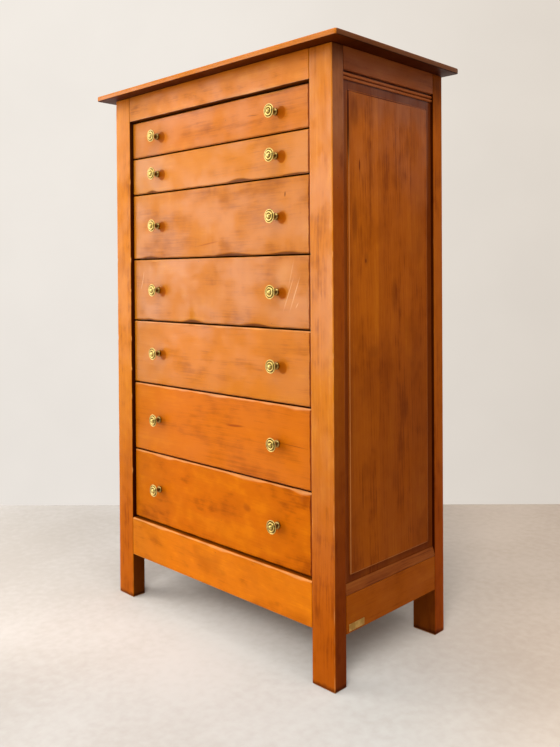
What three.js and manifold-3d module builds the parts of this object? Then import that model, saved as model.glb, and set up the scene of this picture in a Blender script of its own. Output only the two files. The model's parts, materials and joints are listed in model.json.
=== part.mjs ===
// A semainier: a tall chest of seven drawers between four square-cut posts.
// Millimetres, +Z up, the drawers open towards -Y. The origin is on the floor,
// under the middle of the top board.

import * as THREE from 'three'
import { mergeVertices } from 'three/addons/utils/BufferGeometryUtils.js'
import Module from 'manifold-3d'

const wasm = await Module()
wasm.setup()

// Carcass
const BODY_WIDTH = 814
const BODY_DEPTH = 387
const BODY_HEIGHT = 1346.7
const POST_WIDTH = 66.5
const POST_DEPTH = 36
const FLOOR_TO_APRON = 118
const APRON_HEIGHT = 99.6
const FRIEZE_HEIGHT = 65.2
const RAIL_THICKNESS = 22

// Top board
const TOP_THICKNESS = 13
const TOP_SIDE_OVERHANG = 43
const TOP_FRONT_OVERHANG = 32.5
const TOP_BACK_OVERHANG = 10.5
const TOP_EASE = 3.2

// Drawer fronts. The shares say how the seven fronts, from the top one to the bottom one,
// divide the height that the rails and the gaps leave.
const FRONT_SHARES = [92.9, 93.1, 167.7, 158.6, 161.9, 176.1, 180.1]
const FRONT_THICKNESS = 20
const FRONT_RECESS = 9.5
const DRAWER_GAP = 4
const FRIEZE_GAP = 5.5
const SIDE_GAP = 2

// Drawer boxes
const BOX_SIDE_THICKNESS = 13
const BOX_BACK_THICKNESS = 12
const BOX_SIDE_LIFT = 10
const BOX_SIDE_SET_IN = 0.5
const BOX_BACK_DROP = 8
const BOX_REAR_CLEARANCE = 12
const BOTTOM_THICKNESS = 6
const BOTTOM_LIFT = 8
const BOTTOM_GROOVE = 5
const TAIL_LENGTH = 12
const TAIL_PITCH = 40
const TAIL_ROOT_HEIGHT = 15
const TAIL_END_HEIGHT = 20

// Runners and guide boards
const RUNNER_HEIGHT = 16
const RUNNER_WIDTH = 17.7
const TIP_CLEARANCE = 3
const RUNNER_END_CLEARANCE = 1
const GUIDE_THICKNESS = 12
const GUIDE_PROUD = 1

// Side frames
const FLOOR_TO_SIDE_RAIL = 111
const SIDE_BOTTOM_RAIL_HEIGHT = 81
const SIDE_TOP_RAIL_HEIGHT = 48.7
const PANEL_RECESS = 8
const PANEL_THICKNESS = 10
const PANEL_GROOVE = 8
const FIELD_RISE = 3
const FIELD_SIDE_MARGIN = 18
const FIELD_TOP_MARGIN = 20
const FIELD_BOTTOM_MARGIN = 15.5

// Mouldings over and under the side panel
const UPPER_MOULDING_DROP = 4
const UPPER_MOULDING_HEIGHT = 15
const UPPER_MOULDING_DEPTH = 4
const LOWER_MOULDING_HEIGHT = 22
const LOWER_MOULDING_LIP = 3
const MOULDING_NOSE = 1.6

// Back
const BACK_RAIL_HEIGHT = 62
const BACK_PANEL_THICKNESS = 6
const BACK_PANEL_SET_IN = 10
const BACK_PANEL_GROOVE = 8

// Cleats that hold the top board
const CLEAT_HEIGHT = 22
const CLEAT_DEPTH = 20

// Joints
const TENON_THICKNESS = 9
const TENON_SHOULDER = 8
const CROSS_TENON_LENGTH = 30
const SIDE_TENON_LENGTH = 18
const FIT_GAP = 0.3
const OVERRUN = 2

// Edges
const POST_EASE = 2
const RAIL_EASE = 1.2
const FRONT_EASE = 1.5
const END_EASE_SHARE = 0.8
const ROUND_STEPS = 1

// Brass knobs: heights are counted outwards from the face of the drawer
const KNOB_END_INSET = 112.5
const KNOB_HEAD_RADIUS = 15.7
const KNOB_BASE_RADIUS = 8
const KNOB_NECK_RADIUS = 3.8
const KNOB_BOSS_RADIUS = 4.2
const KNOB_RING_RADIUS = 9.6
const KNOB_BASE_HEIGHT = 5.5
const KNOB_HEAD_BACK = 17
const KNOB_RIM_HEIGHT = 22
const KNOB_FACE_HEIGHT = 23.5
const KNOB_PROJECTION = 26
const KNOB_SHANK_RADIUS = 2.5
const KNOB_NUT_RADIUS = 5.5
const KNOB_NUT_HEIGHT = 3.5
const KNOB_FACETS = 14
const HOLE_FACETS = 12

// Brass plate, left bare
const PLATE_LENGTH = 48
const PLATE_HEIGHT = 15
const PLATE_THICKNESS = 1.2
const PLATE_FROM_POST = 7.7
const PLATE_LIFT = 4.5

// Places worked out from the sizes
const LEFT = -1
const RIGHT = 1
const SIDES = [[LEFT, 'left'], [RIGHT, 'right']]
const BODY_EDGE = BODY_WIDTH / 2
const POST_INNER = BODY_EDGE - POST_WIDTH
const BODY_FRONT = TOP_FRONT_OVERHANG - (BODY_DEPTH + TOP_FRONT_OVERHANG + TOP_BACK_OVERHANG) / 2
const BODY_BACK = BODY_FRONT + BODY_DEPTH
const SIDE_OPENING = [BODY_FRONT + POST_DEPTH, BODY_BACK - POST_DEPTH]

const APRON_TOP = FLOOR_TO_APRON + APRON_HEIGHT
const FRIEZE_BOTTOM = BODY_HEIGHT - FRIEZE_HEIGHT
const FRONT_ROOM = FRIEZE_BOTTOM - FRIEZE_GAP - APRON_TOP - FRONT_SHARES.length * DRAWER_GAP
const SHARE_SUM = FRONT_SHARES.reduce((sum, share) => sum + share)
const FRONT_HEIGHTS = FRONT_SHARES.map((share) => (FRONT_ROOM * share) / SHARE_SUM)
const TOP_UNDERSIDE = BODY_HEIGHT + FIT_GAP
const BACK_PANEL_FRONT = BODY_BACK - BACK_PANEL_SET_IN - BACK_PANEL_THICKNESS

const PANEL_FACE = BODY_EDGE - PANEL_RECESS
const SIDE_RAIL_INNER = BODY_EDGE - RAIL_THICKNESS
const SIDE_RAIL_TOP = FLOOR_TO_SIDE_RAIL + SIDE_BOTTOM_RAIL_HEIGHT
const SIDE_TOP_RAIL_LOW = BODY_HEIGHT - SIDE_TOP_RAIL_HEIGHT
const UPPER_MOULDING_LOW = SIDE_TOP_RAIL_LOW - UPPER_MOULDING_DROP - UPPER_MOULDING_HEIGHT
const LOWER_MOULDING_TOP = SIDE_RAIL_TOP + FIT_GAP + LOWER_MOULDING_HEIGHT

const FRONT_FACE = BODY_FRONT + FRONT_RECESS
const DRAWER_EDGE = POST_INNER - SIDE_GAP
const BOX_OUTER = DRAWER_EDGE - BOX_SIDE_SET_IN
const BOX_INNER = BOX_OUTER - BOX_SIDE_THICKNESS
const BOX_REAR = BACK_PANEL_FRONT - BOX_REAR_CLEARANCE - FRONT_FACE
const RUNNER_TOP = BOX_SIDE_LIFT - FIT_GAP
const RUNNER_LOW = RUNNER_TOP - RUNNER_HEIGHT
const BOX_TOP_DROP = TIP_CLEARANCE - DRAWER_GAP - RUNNER_LOW
const PANEL_BOTTOM_LOW = BOX_SIDE_LIFT + BOTTOM_LIFT
const PANEL_BOTTOM_TOP = PANEL_BOTTOM_LOW + BOTTOM_THICKNESS

// Each piece has its own material.
const FINISHES = {
  polished_wood: { color: 0xb96f35, roughness: 0.38, metalness: 0 },
  plain_wood: { color: 0xc99a66, roughness: 0.7, metalness: 0 },
  back_wood: { color: 0x9a6a3e, roughness: 0.75, metalness: 0 },
  brass: { color: 0xc2a24c, roughness: 0.3, metalness: 1 },
}

function piece(name, geometry, finish) {
  const mesh = new THREE.Mesh(geometry, new THREE.MeshStandardMaterial(FINISHES[finish]))
  mesh.name = name
  return mesh
}

// A range is a block of space: its two planes on each axis, in either order.
const span = ([a, b]) => Math.abs(b - a)
const middle = ([a, b]) => (a + b) / 2
const mirrored = (side, a, b) => [side * a, side * b]

function grown(range, gap) {
  const wider = ([a, b]) => [Math.min(a, b) - gap, Math.max(a, b) + gap]
  return { x: wider(range.x), y: wider(range.y), z: wider(range.z) }
}

function block(range) {
  const box = new THREE.BoxGeometry(span(range.x), span(range.y), span(range.z))
  return box.translate(middle(range.x), middle(range.y), middle(range.z))
}

// A board with all its arrises eased, as a plane and sandpaper leave them.
function easedBoard(range, ease) {
  const right = span(range.x) / 2
  const back = span(range.y) / 2
  const quarter = Math.PI / 2
  const outline = new THREE.Shape()
  outline.absarc(right - ease, back - ease, ease, 0, quarter)
  outline.absarc(ease - right, back - ease, ease, quarter, 2 * quarter)
  outline.absarc(ease - right, ease - back, ease, 2 * quarter, 3 * quarter)
  outline.absarc(right - ease, ease - back, ease, 3 * quarter, 4 * quarter)
  const endEase = ease * END_EASE_SHARE
  const board = new THREE.ExtrudeGeometry(outline, {
    depth: span(range.z) - 2 * endEase,
    bevelThickness: endEase,
    bevelSize: endEase,
    bevelOffset: -endEase,
    bevelSegments: ROUND_STEPS,
    curveSegments: ROUND_STEPS,
  })
  const low = Math.min(...range.z)
  return board.translate(middle(range.x), middle(range.y), low + endEase)
}

// An outline drawn in Y and Z, made as thick as the span of xs.
function extrudeInX(outline, xs) {
  const geometry = new THREE.ExtrudeGeometry(outline, { depth: span(xs), bevelEnabled: false })
  const turn = new THREE.Matrix4().makeBasis(
    new THREE.Vector3(0, 1, 0),
    new THREE.Vector3(0, 0, 1),
    new THREE.Vector3(1, 0, 0),
  )
  return geometry.applyMatrix4(turn).translate(Math.min(...xs), 0, 0)
}

// An outline drawn in X and Z, made as long as the span of ys.
function extrudeInY(outline, ys) {
  const geometry = new THREE.ExtrudeGeometry(outline, {
    depth: span(ys),
    bevelEnabled: false,
    curveSegments: 2 * ROUND_STEPS,
  })
  return geometry.rotateX(Math.PI / 2).translate(0, Math.max(...ys), 0)
}

// Cutting and joining: a closed geometry becomes a solid, and a solid a geometry again.
function solid(geometry) {
  geometry.deleteAttribute('normal')
  geometry.deleteAttribute('uv')
  const merged = mergeVertices(geometry)
  const mesh = new wasm.Mesh({
    numProp: 3,
    vertProperties: new Float32Array(merged.attributes.position.array),
    triVerts: new Uint32Array(merged.index.array),
  })
  return new wasm.Manifold(mesh)
}

function shown(body) {
  const mesh = body.getMesh()
  const geometry = new THREE.BufferGeometry()
  geometry.setAttribute('position', new THREE.BufferAttribute(mesh.vertProperties, 3))
  geometry.setIndex(new THREE.BufferAttribute(mesh.triVerts, 1))
  const faceted = geometry.toNonIndexed()
  faceted.computeVertexNormals()
  return faceted
}

const joined = (geometries) => geometries.map(solid).reduce((sum, body) => sum.add(body))
const cut = (body, geometries) => geometries.map(solid).reduce((rest, tool) => rest.subtract(tool), body)

// What a neighbour takes out of a piece: the neighbour's own range and the fitting gap.
const recess = (range) => block(grown(range, FIT_GAP))

// A rail runs between two posts and has a tenon at each end.
// The tenon is set back from the rail's faces and from its edges.
function railAcross(ys, zs) {
  const tenonY = [middle(ys) - TENON_THICKNESS / 2, middle(ys) + TENON_THICKNESS / 2]
  const tenonZ = [zs[0] + TENON_SHOULDER, zs[1] - TENON_SHOULDER]
  const shoulder = POST_INNER - FIT_GAP
  return {
    body: { x: [-shoulder, shoulder], y: ys, z: zs },
    tenon: {
      x: [-POST_INNER - CROSS_TENON_LENGTH, POST_INNER + CROSS_TENON_LENGTH],
      y: tenonY,
      z: tenonZ,
    },
  }
}

function railAlong(side, zs) {
  const xs = mirrored(side, SIDE_RAIL_INNER, BODY_EDGE)
  const tenonX = [middle(xs) - TENON_THICKNESS / 2, middle(xs) + TENON_THICKNESS / 2]
  const tenonZ = [zs[0] + TENON_SHOULDER, zs[1] - TENON_SHOULDER]
  const [front, back] = SIDE_OPENING
  return {
    body: { x: xs, y: [front + FIT_GAP, back - FIT_GAP], z: zs },
    tenon: { x: tenonX, y: [front - SIDE_TENON_LENGTH, back + SIDE_TENON_LENGTH], z: tenonZ },
  }
}

const friezeRail = railAcross([BODY_FRONT, BODY_FRONT + RAIL_THICKNESS], [FRIEZE_BOTTOM, BODY_HEIGHT])
const apronRail = railAcross([BODY_FRONT, BODY_FRONT + RAIL_THICKNESS], [FLOOR_TO_APRON, APRON_TOP])
const backRailY = [BODY_BACK - RAIL_THICKNESS, BODY_BACK]
const backTopRail = railAcross(backRailY, [BODY_HEIGHT - BACK_RAIL_HEIGHT, BODY_HEIGHT])
const backBottomRail = railAcross(backRailY, [FLOOR_TO_APRON, FLOOR_TO_APRON + BACK_RAIL_HEIGHT])
const sideTopRail = (side) => railAlong(side, [SIDE_TOP_RAIL_LOW, BODY_HEIGHT])
const sideBottomRail = (side) => railAlong(side, [FLOOR_TO_SIDE_RAIL, SIDE_RAIL_TOP])

// The thin plate of each panel stands in grooves of the posts and the rails.
const sidePlate = (side) => ({
  x: mirrored(side, PANEL_FACE - PANEL_THICKNESS, PANEL_FACE),
  y: [SIDE_OPENING[0] - PANEL_GROOVE, SIDE_OPENING[1] + PANEL_GROOVE],
  z: [SIDE_RAIL_TOP - PANEL_GROOVE, SIDE_TOP_RAIL_LOW + PANEL_GROOVE],
})

const backPlate = {
  x: [-POST_INNER - BACK_PANEL_GROOVE, POST_INNER + BACK_PANEL_GROOVE],
  y: [BACK_PANEL_FRONT, BACK_PANEL_FRONT + BACK_PANEL_THICKNESS],
  z: [
    FLOOR_TO_APRON + BACK_RAIL_HEIGHT - BACK_PANEL_GROOVE,
    BODY_HEIGHT - BACK_RAIL_HEIGHT + BACK_PANEL_GROOVE,
  ],
}

function rail(name, range, plates) {
  const wood = solid(easedBoard(range.body, RAIL_EASE)).add(solid(block(range.tenon)))
  return piece(name, shown(cut(wood, plates.map(recess))), 'polished_wood')
}

// Posts run from the floor to the top board, with a mortise for every rail that ends in them.
function frontPost(side, word) {
  const range = {
    x: mirrored(side, POST_INNER, BODY_EDGE),
    y: [BODY_FRONT, SIDE_OPENING[0]],
    z: [0, BODY_HEIGHT],
  }
  const sockets = [friezeRail, apronRail, sideTopRail(side), sideBottomRail(side)]
  const cuts = [...sockets.map((entry) => recess(entry.tenon)), recess(sidePlate(side))]
  const wood = cut(solid(easedBoard(range, POST_EASE)), cuts)
  return piece(`front_post_${word}`, shown(wood), 'polished_wood')
}

function rearPost(side, word) {
  const range = {
    x: mirrored(side, POST_INNER, BODY_EDGE),
    y: [SIDE_OPENING[1], BODY_BACK],
    z: [0, BODY_HEIGHT],
  }
  const sockets = [backTopRail, backBottomRail, sideTopRail(side), sideBottomRail(side)]
  const cuts = [
    ...sockets.map((entry) => recess(entry.tenon)),
    recess(sidePlate(side)),
    recess(backPlate),
  ]
  const wood = cut(solid(easedBoard(range, POST_EASE)), cuts)
  return piece(`rear_post_${word}`, shown(wood), 'polished_wood')
}

// The side panel is thicker in its middle: the raised field stands proud of the margins.
function sidePanel(side, word) {
  const field = {
    x: mirrored(side, PANEL_FACE - PANEL_THICKNESS / 2, PANEL_FACE + FIELD_RISE),
    y: [SIDE_OPENING[0] + FIELD_SIDE_MARGIN, SIDE_OPENING[1] - FIELD_SIDE_MARGIN],
    z: [LOWER_MOULDING_TOP + FIELD_BOTTOM_MARGIN, UPPER_MOULDING_LOW - FIELD_TOP_MARGIN],
  }
  const wood = joined([block(sidePlate(side)), easedBoard(field, FIELD_RISE)])
  return piece(`side_panel_${word}`, shown(wood), 'polished_wood')
}

// The upper moulding is a flat strip with a round nose along its lower edge.
function upperMoulding(side, word) {
  const back = side * (PANEL_FACE + FIT_GAP)
  const front = side * (PANEL_FACE + FIT_GAP + UPPER_MOULDING_DEPTH)
  const nose = side * MOULDING_NOSE
  const top = UPPER_MOULDING_LOW + UPPER_MOULDING_HEIGHT
  const outline = new THREE.Shape()
  outline.moveTo(back, UPPER_MOULDING_LOW)
  outline.lineTo(front - nose, UPPER_MOULDING_LOW)
  outline.quadraticCurveTo(front, UPPER_MOULDING_LOW, front, UPPER_MOULDING_LOW + MOULDING_NOSE)
  outline.lineTo(front, top - MOULDING_NOSE)
  outline.quadraticCurveTo(front, top, front - nose, top)
  outline.lineTo(back, top)
  outline.closePath()
  const ys = [SIDE_OPENING[0] + FIT_GAP, SIDE_OPENING[1] - FIT_GAP]
  return piece(`upper_moulding_${word}`, extrudeInY(outline, ys), 'polished_wood')
}

// The lower moulding falls from the panel to the face of the bottom rail.
function lowerMoulding(side, word) {
  const back = side * (PANEL_FACE + FIT_GAP)
  const front = side * BODY_EDGE
  const nose = side * MOULDING_NOSE
  const low = SIDE_RAIL_TOP + FIT_GAP
  const outline = new THREE.Shape()
  outline.moveTo(back, low)
  outline.lineTo(front - nose, low)
  outline.quadraticCurveTo(front, low, front, low + LOWER_MOULDING_LIP)
  outline.lineTo(back + nose, LOWER_MOULDING_TOP)
  outline.lineTo(back, LOWER_MOULDING_TOP)
  outline.closePath()
  const ys = [SIDE_OPENING[0] + FIT_GAP, SIDE_OPENING[1] - FIT_GAP]
  return piece(`lower_moulding_${word}`, extrudeInY(outline, ys), 'polished_wood')
}

// The bottom edge of each drawer front, from the top drawer to the bottom one.
function drawerLows() {
  const lows = []
  let top = FRIEZE_BOTTOM - FRIEZE_GAP
  for (const height of FRONT_HEIGHTS) {
    lows.push(top - height)
    top -= height + DRAWER_GAP
  }
  return lows
}

// A guide board stands between the posts. Its runners lie under the sides of the drawers,
// and each one also keeps the drawer below it from tipping when that is pulled out.
function guideBoard(side, word) {
  const inner = POST_INNER - GUIDE_PROUD
  const board = {
    x: mirrored(side, inner, inner + GUIDE_THICKNESS),
    y: [SIDE_OPENING[0] + FIT_GAP, SIDE_OPENING[1] - FIT_GAP],
    z: [FLOOR_TO_APRON, BODY_HEIGHT],
  }
  const outer = POST_INNER - FIT_GAP
  const runners = drawerLows().map((low) => ({
    x: mirrored(side, outer - RUNNER_WIDTH, outer),
    y: [
      FRONT_FACE + FRONT_THICKNESS + RUNNER_END_CLEARANCE,
      BACK_PANEL_FRONT - RUNNER_END_CLEARANCE,
    ],
    z: [low + RUNNER_LOW, low + RUNNER_TOP],
  }))
  const wood = joined([board, ...runners].map(block))
  return piece(`guide_board_${word}`, shown(wood), 'plain_wood')
}

// Two cleats under the top board take its screws.
function cleat(name, ys) {
  const range = {
    x: [FIT_GAP + GUIDE_PROUD - POST_INNER, POST_INNER - GUIDE_PROUD - FIT_GAP],
    y: ys,
    z: [BODY_HEIGHT - CLEAT_HEIGHT, BODY_HEIGHT],
  }
  return piece(name, block(range), 'plain_wood')
}

function topBoard() {
  const half = BODY_EDGE + TOP_SIDE_OVERHANG
  const range = {
    x: [-half, half],
    y: [BODY_FRONT - TOP_FRONT_OVERHANG, BODY_BACK + TOP_BACK_OVERHANG],
    z: [TOP_UNDERSIDE, TOP_UNDERSIDE + TOP_THICKNESS],
  }
  return piece('top_board', easedBoard(range, TOP_EASE), 'polished_wood')
}

function brassPlate() {
  const near = SIDE_OPENING[0] + PLATE_FROM_POST
  const low = FLOOR_TO_SIDE_RAIL + PLATE_LIFT
  const range = {
    x: [BODY_EDGE + FIT_GAP, BODY_EDGE + FIT_GAP + PLATE_THICKNESS],
    y: [near, near + PLATE_LENGTH],
    z: [low, low + PLATE_HEIGHT],
  }
  return piece('brass_plate', block(range), 'brass')
}

// Everything below is drawn in a drawer's own frame:
// Y starts at the face of the front, and Z at its bottom edge.

// One tail of a lapped dovetail, narrow at its root and wide at its end.
function tail(xs, height, gap) {
  const end = FRONT_THICKNESS - TAIL_LENGTH - gap
  const root = FRONT_THICKNESS + FIT_GAP + OVERRUN
  const outline = new THREE.Shape()
  outline.moveTo(end, height - TAIL_END_HEIGHT / 2 - gap)
  outline.lineTo(root, height - TAIL_ROOT_HEIGHT / 2 - gap)
  outline.lineTo(root, height + TAIL_ROOT_HEIGHT / 2 + gap)
  outline.lineTo(end, height + TAIL_END_HEIGHT / 2 + gap)
  outline.closePath()
  return extrudeInX(outline, xs)
}

// The heights of the tails, spread evenly over the side of the box.
function tailHeights(boxTop) {
  const room = boxTop - BOX_SIDE_LIFT
  const count = Math.max(1, Math.round(room / TAIL_PITCH))
  return Array.from({ length: count }, (_, i) => BOX_SIDE_LIFT + (room * (i + 0.5)) / count)
}

const drawerBottomRange = {
  x: [-BOX_INNER - BOTTOM_GROOVE, BOX_INNER + BOTTOM_GROOVE],
  y: [FRONT_THICKNESS - BOTTOM_GROOVE, BOX_REAR],
  z: [PANEL_BOTTOM_LOW, PANEL_BOTTOM_TOP],
}

function drawerFront(name, height, boxTop) {
  const range = { x: [-DRAWER_EDGE, DRAWER_EDGE], y: [0, FRONT_THICKNESS], z: [0, height] }
  const cuts = [recess(drawerBottomRange)]
  for (const [side] of SIDES) {
    const xs = mirrored(side, BOX_INNER - FIT_GAP, DRAWER_EDGE + OVERRUN)
    cuts.push(...tailHeights(boxTop).map((at) => tail(xs, at, FIT_GAP)))
    const hole = new THREE.CylinderGeometry(
      KNOB_SHANK_RADIUS + FIT_GAP,
      KNOB_SHANK_RADIUS + FIT_GAP,
      FRONT_THICKNESS + 2 * OVERRUN,
      HOLE_FACETS,
    )
    cuts.push(hole.translate(side * (DRAWER_EDGE - KNOB_END_INSET), FRONT_THICKNESS / 2, height / 2))
  }
  return piece(name, shown(cut(solid(easedBoard(range, FRONT_EASE)), cuts)), 'polished_wood')
}

// Two sides and the back make a U that the bottom slides into from behind.
function drawerBox(name, boxTop) {
  const parts = []
  for (const [side] of SIDES) {
    const xs = mirrored(side, BOX_INNER, BOX_OUTER)
    const board = { x: xs, y: [FRONT_THICKNESS + FIT_GAP, BOX_REAR], z: [BOX_SIDE_LIFT, boxTop] }
    parts.push(block(board), ...tailHeights(boxTop).map((at) => tail(xs, at, 0)))
  }
  const backEdge = BOX_OUTER - BOX_SIDE_THICKNESS / 2
  const back = {
    x: [-backEdge, backEdge],
    y: [BOX_REAR - BOX_BACK_THICKNESS, BOX_REAR],
    z: [PANEL_BOTTOM_TOP + FIT_GAP, boxTop - BOX_BACK_DROP],
  }
  parts.push(block(back))
  return piece(name, shown(cut(joined(parts), [recess(drawerBottomRange)])), 'plain_wood')
}

// A turned brass knob: nut and shank behind, then base, neck, and a round head with rings.
function knobProfile() {
  const nutFace = -FRONT_THICKNESS - FIT_GAP
  const rimEase = KNOB_FACE_HEIGHT - KNOB_RIM_HEIGHT
  return [
    [0, nutFace - KNOB_NUT_HEIGHT],
    [KNOB_NUT_RADIUS, nutFace - KNOB_NUT_HEIGHT],
    [KNOB_NUT_RADIUS, nutFace],
    [KNOB_SHANK_RADIUS, nutFace],
    [KNOB_SHANK_RADIUS, FIT_GAP],
    [KNOB_BASE_RADIUS, FIT_GAP],
    [KNOB_BASE_RADIUS, KNOB_BASE_HEIGHT / 2],
    [KNOB_NECK_RADIUS, KNOB_BASE_HEIGHT],
    [KNOB_NECK_RADIUS, (KNOB_BASE_HEIGHT + KNOB_HEAD_BACK) / 2],
    [KNOB_RING_RADIUS, KNOB_HEAD_BACK],
    [KNOB_HEAD_RADIUS, KNOB_RIM_HEIGHT - rimEase],
    [KNOB_HEAD_RADIUS, KNOB_RIM_HEIGHT],
    [KNOB_HEAD_RADIUS - rimEase, KNOB_FACE_HEIGHT],
    [KNOB_RING_RADIUS, KNOB_RIM_HEIGHT],
    [KNOB_BOSS_RADIUS, KNOB_FACE_HEIGHT],
    [0, KNOB_PROJECTION],
  ].map(([radius, height]) => new THREE.Vector2(radius, height))
}

function knob(name, side, height) {
  const geometry = new THREE.LatheGeometry(knobProfile(), KNOB_FACETS)
  const mesh = piece(name, geometry, 'brass')
  mesh.position.set(side * (DRAWER_EDGE - KNOB_END_INSET), 0, height / 2)
  mesh.rotation.z = Math.PI
  return mesh
}

function drawer(number, height, low) {
  const name = `drawer_${number}`
  const boxTop = height - BOX_TOP_DROP
  const group = new THREE.Group()
  group.add(drawerFront(`${name}_front`, height, boxTop))
  group.add(drawerBox(`${name}_box`, boxTop))
  group.add(piece(`${name}_bottom`, block(drawerBottomRange), 'plain_wood'))
  for (const [side, word] of SIDES) {
    group.add(knob(`${name}_knob_${word}`, side, height))
  }
  group.position.set(0, FRONT_FACE, low)
  return group
}

const semainier = new THREE.Group()
semainier.add(topBoard())
semainier.add(rail('frieze_rail', friezeRail, []))
semainier.add(rail('apron_rail', apronRail, []))
semainier.add(rail('back_top_rail', backTopRail, [backPlate]))
semainier.add(rail('back_bottom_rail', backBottomRail, [backPlate]))
semainier.add(piece('back_panel', block(backPlate), 'back_wood'))
for (const [side, word] of SIDES) {
  semainier.add(frontPost(side, word))
  semainier.add(rearPost(side, word))
  semainier.add(rail(`side_top_rail_${word}`, sideTopRail(side), [sidePlate(side)]))
  semainier.add(rail(`side_bottom_rail_${word}`, sideBottomRail(side), [sidePlate(side)]))
  semainier.add(sidePanel(side, word))
  semainier.add(upperMoulding(side, word))
  semainier.add(lowerMoulding(side, word))
  semainier.add(guideBoard(side, word))
}
const behindFrieze = BODY_FRONT + RAIL_THICKNESS + FIT_GAP
const beforeBackRail = BODY_BACK - RAIL_THICKNESS - FIT_GAP
semainier.add(cleat('top_cleat_front', [behindFrieze, behindFrieze + CLEAT_DEPTH]))
semainier.add(cleat('top_cleat_rear', [beforeBackRail - CLEAT_DEPTH, beforeBackRail]))
semainier.add(brassPlate())

const lows = drawerLows()
FRONT_HEIGHTS.forEach((height, i) => semainier.add(drawer(i + 1, height, lows[i])))

export default semainier
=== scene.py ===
# %% [markdown]
# # A tall chest of seven drawers
# The chest stands on four square posts. Its joinery was measured and modelled first, and that model
# is loaded here as a fixed frame. This lesson adds what the eye sees: wood that has been handled for
# years, turned brass, and the light of a plain room.

import json
import math

import bmesh
import bpy
from mathutils import Matrix, Vector, noise

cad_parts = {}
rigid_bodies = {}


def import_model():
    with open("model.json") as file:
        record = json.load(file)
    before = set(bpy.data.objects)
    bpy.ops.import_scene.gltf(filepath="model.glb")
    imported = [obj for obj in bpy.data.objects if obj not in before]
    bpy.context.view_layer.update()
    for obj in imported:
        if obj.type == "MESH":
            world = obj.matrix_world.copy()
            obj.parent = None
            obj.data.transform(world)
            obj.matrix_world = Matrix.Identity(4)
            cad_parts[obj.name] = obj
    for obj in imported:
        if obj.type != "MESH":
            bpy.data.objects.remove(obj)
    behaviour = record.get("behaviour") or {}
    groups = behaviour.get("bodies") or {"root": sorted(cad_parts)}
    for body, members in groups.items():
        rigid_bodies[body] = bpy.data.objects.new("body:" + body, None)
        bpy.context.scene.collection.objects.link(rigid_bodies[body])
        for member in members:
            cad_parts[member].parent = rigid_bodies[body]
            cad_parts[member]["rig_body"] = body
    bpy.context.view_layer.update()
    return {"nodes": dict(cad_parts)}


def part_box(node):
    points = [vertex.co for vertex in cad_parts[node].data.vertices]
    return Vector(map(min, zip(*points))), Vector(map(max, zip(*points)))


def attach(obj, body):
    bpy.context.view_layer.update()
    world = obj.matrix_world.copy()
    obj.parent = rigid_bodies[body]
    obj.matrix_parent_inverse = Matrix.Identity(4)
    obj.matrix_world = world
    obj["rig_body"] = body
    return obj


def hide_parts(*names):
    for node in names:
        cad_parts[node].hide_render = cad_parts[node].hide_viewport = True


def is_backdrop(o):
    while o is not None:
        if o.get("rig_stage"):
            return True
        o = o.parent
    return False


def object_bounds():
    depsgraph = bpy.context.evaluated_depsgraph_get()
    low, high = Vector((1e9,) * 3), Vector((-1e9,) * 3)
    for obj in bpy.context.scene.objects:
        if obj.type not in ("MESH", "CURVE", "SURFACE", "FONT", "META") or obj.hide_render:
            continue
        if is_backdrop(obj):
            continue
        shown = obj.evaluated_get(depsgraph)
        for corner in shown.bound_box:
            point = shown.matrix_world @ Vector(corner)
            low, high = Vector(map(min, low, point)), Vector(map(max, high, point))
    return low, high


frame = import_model()
MM = 0.001
DRAWERS = range(1, 8)
SIDES = ((-1, "left"), (1, "right"))
X, Y, Z = 0, 1, 2

# %% [markdown]
# ## The camera
# A photograph fixes where its camera stood. Corners of the chest with known sizes were matched to
# their pixels, which gave the place, the turn and the length of the lens. The picture was cropped
# after it was taken, so the optical centre isn't in the middle, and the lens is shifted to match.

# %% Put the camera where the photograph was taken
PHOTO_WIDTH_PX = 560
PHOTO_HEIGHT_PX = 747
OPTICAL_CENTRE_PX = (357.05, 284.43)
FOCAL_PX = 783.44
SENSOR_MM = 36
CAMERA_PLACE = Vector((1.5146, -1.3539, 0.8658))
CAMERA_AZIMUTH = math.radians(41.63)
CAMERA_DIP = math.radians(0.633)
CAMERA_ROLL = math.radians(-0.2985)

lens = bpy.data.cameras.new("photo_lens")
lens.sensor_width = SENSOR_MM
lens.lens = SENSOR_MM * FOCAL_PX / PHOTO_HEIGHT_PX
lens.shift_x = (PHOTO_WIDTH_PX / 2 - OPTICAL_CENTRE_PX[0]) / PHOTO_HEIGHT_PX
lens.shift_y = (OPTICAL_CENTRE_PX[1] - PHOTO_HEIGHT_PX / 2) / PHOTO_HEIGHT_PX
camera = bpy.data.objects.new("photo_camera", lens)
bpy.context.scene.collection.objects.link(camera)
bpy.context.scene.camera = camera
camera.matrix_world = (
    Matrix.Translation(CAMERA_PLACE)
    @ Matrix.Rotation(CAMERA_AZIMUTH, 4, "Z")
    @ Matrix.Rotation(math.pi / 2 - CAMERA_DIP, 4, "X")
    @ Matrix.Rotation(CAMERA_ROLL, 4, "Z")
)
print("lens:", round(lens.lens, 2), "mm, shift:", round(lens.shift_x, 3), round(lens.shift_y, 3))

# %% [markdown]
# ## Drawing node trees
# A material is a tree of nodes. Clicking each one together by hand is slow, and so is writing the
# same three lines of code for each, so a small helper adds a node, sets it and wires it in one go.


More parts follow.
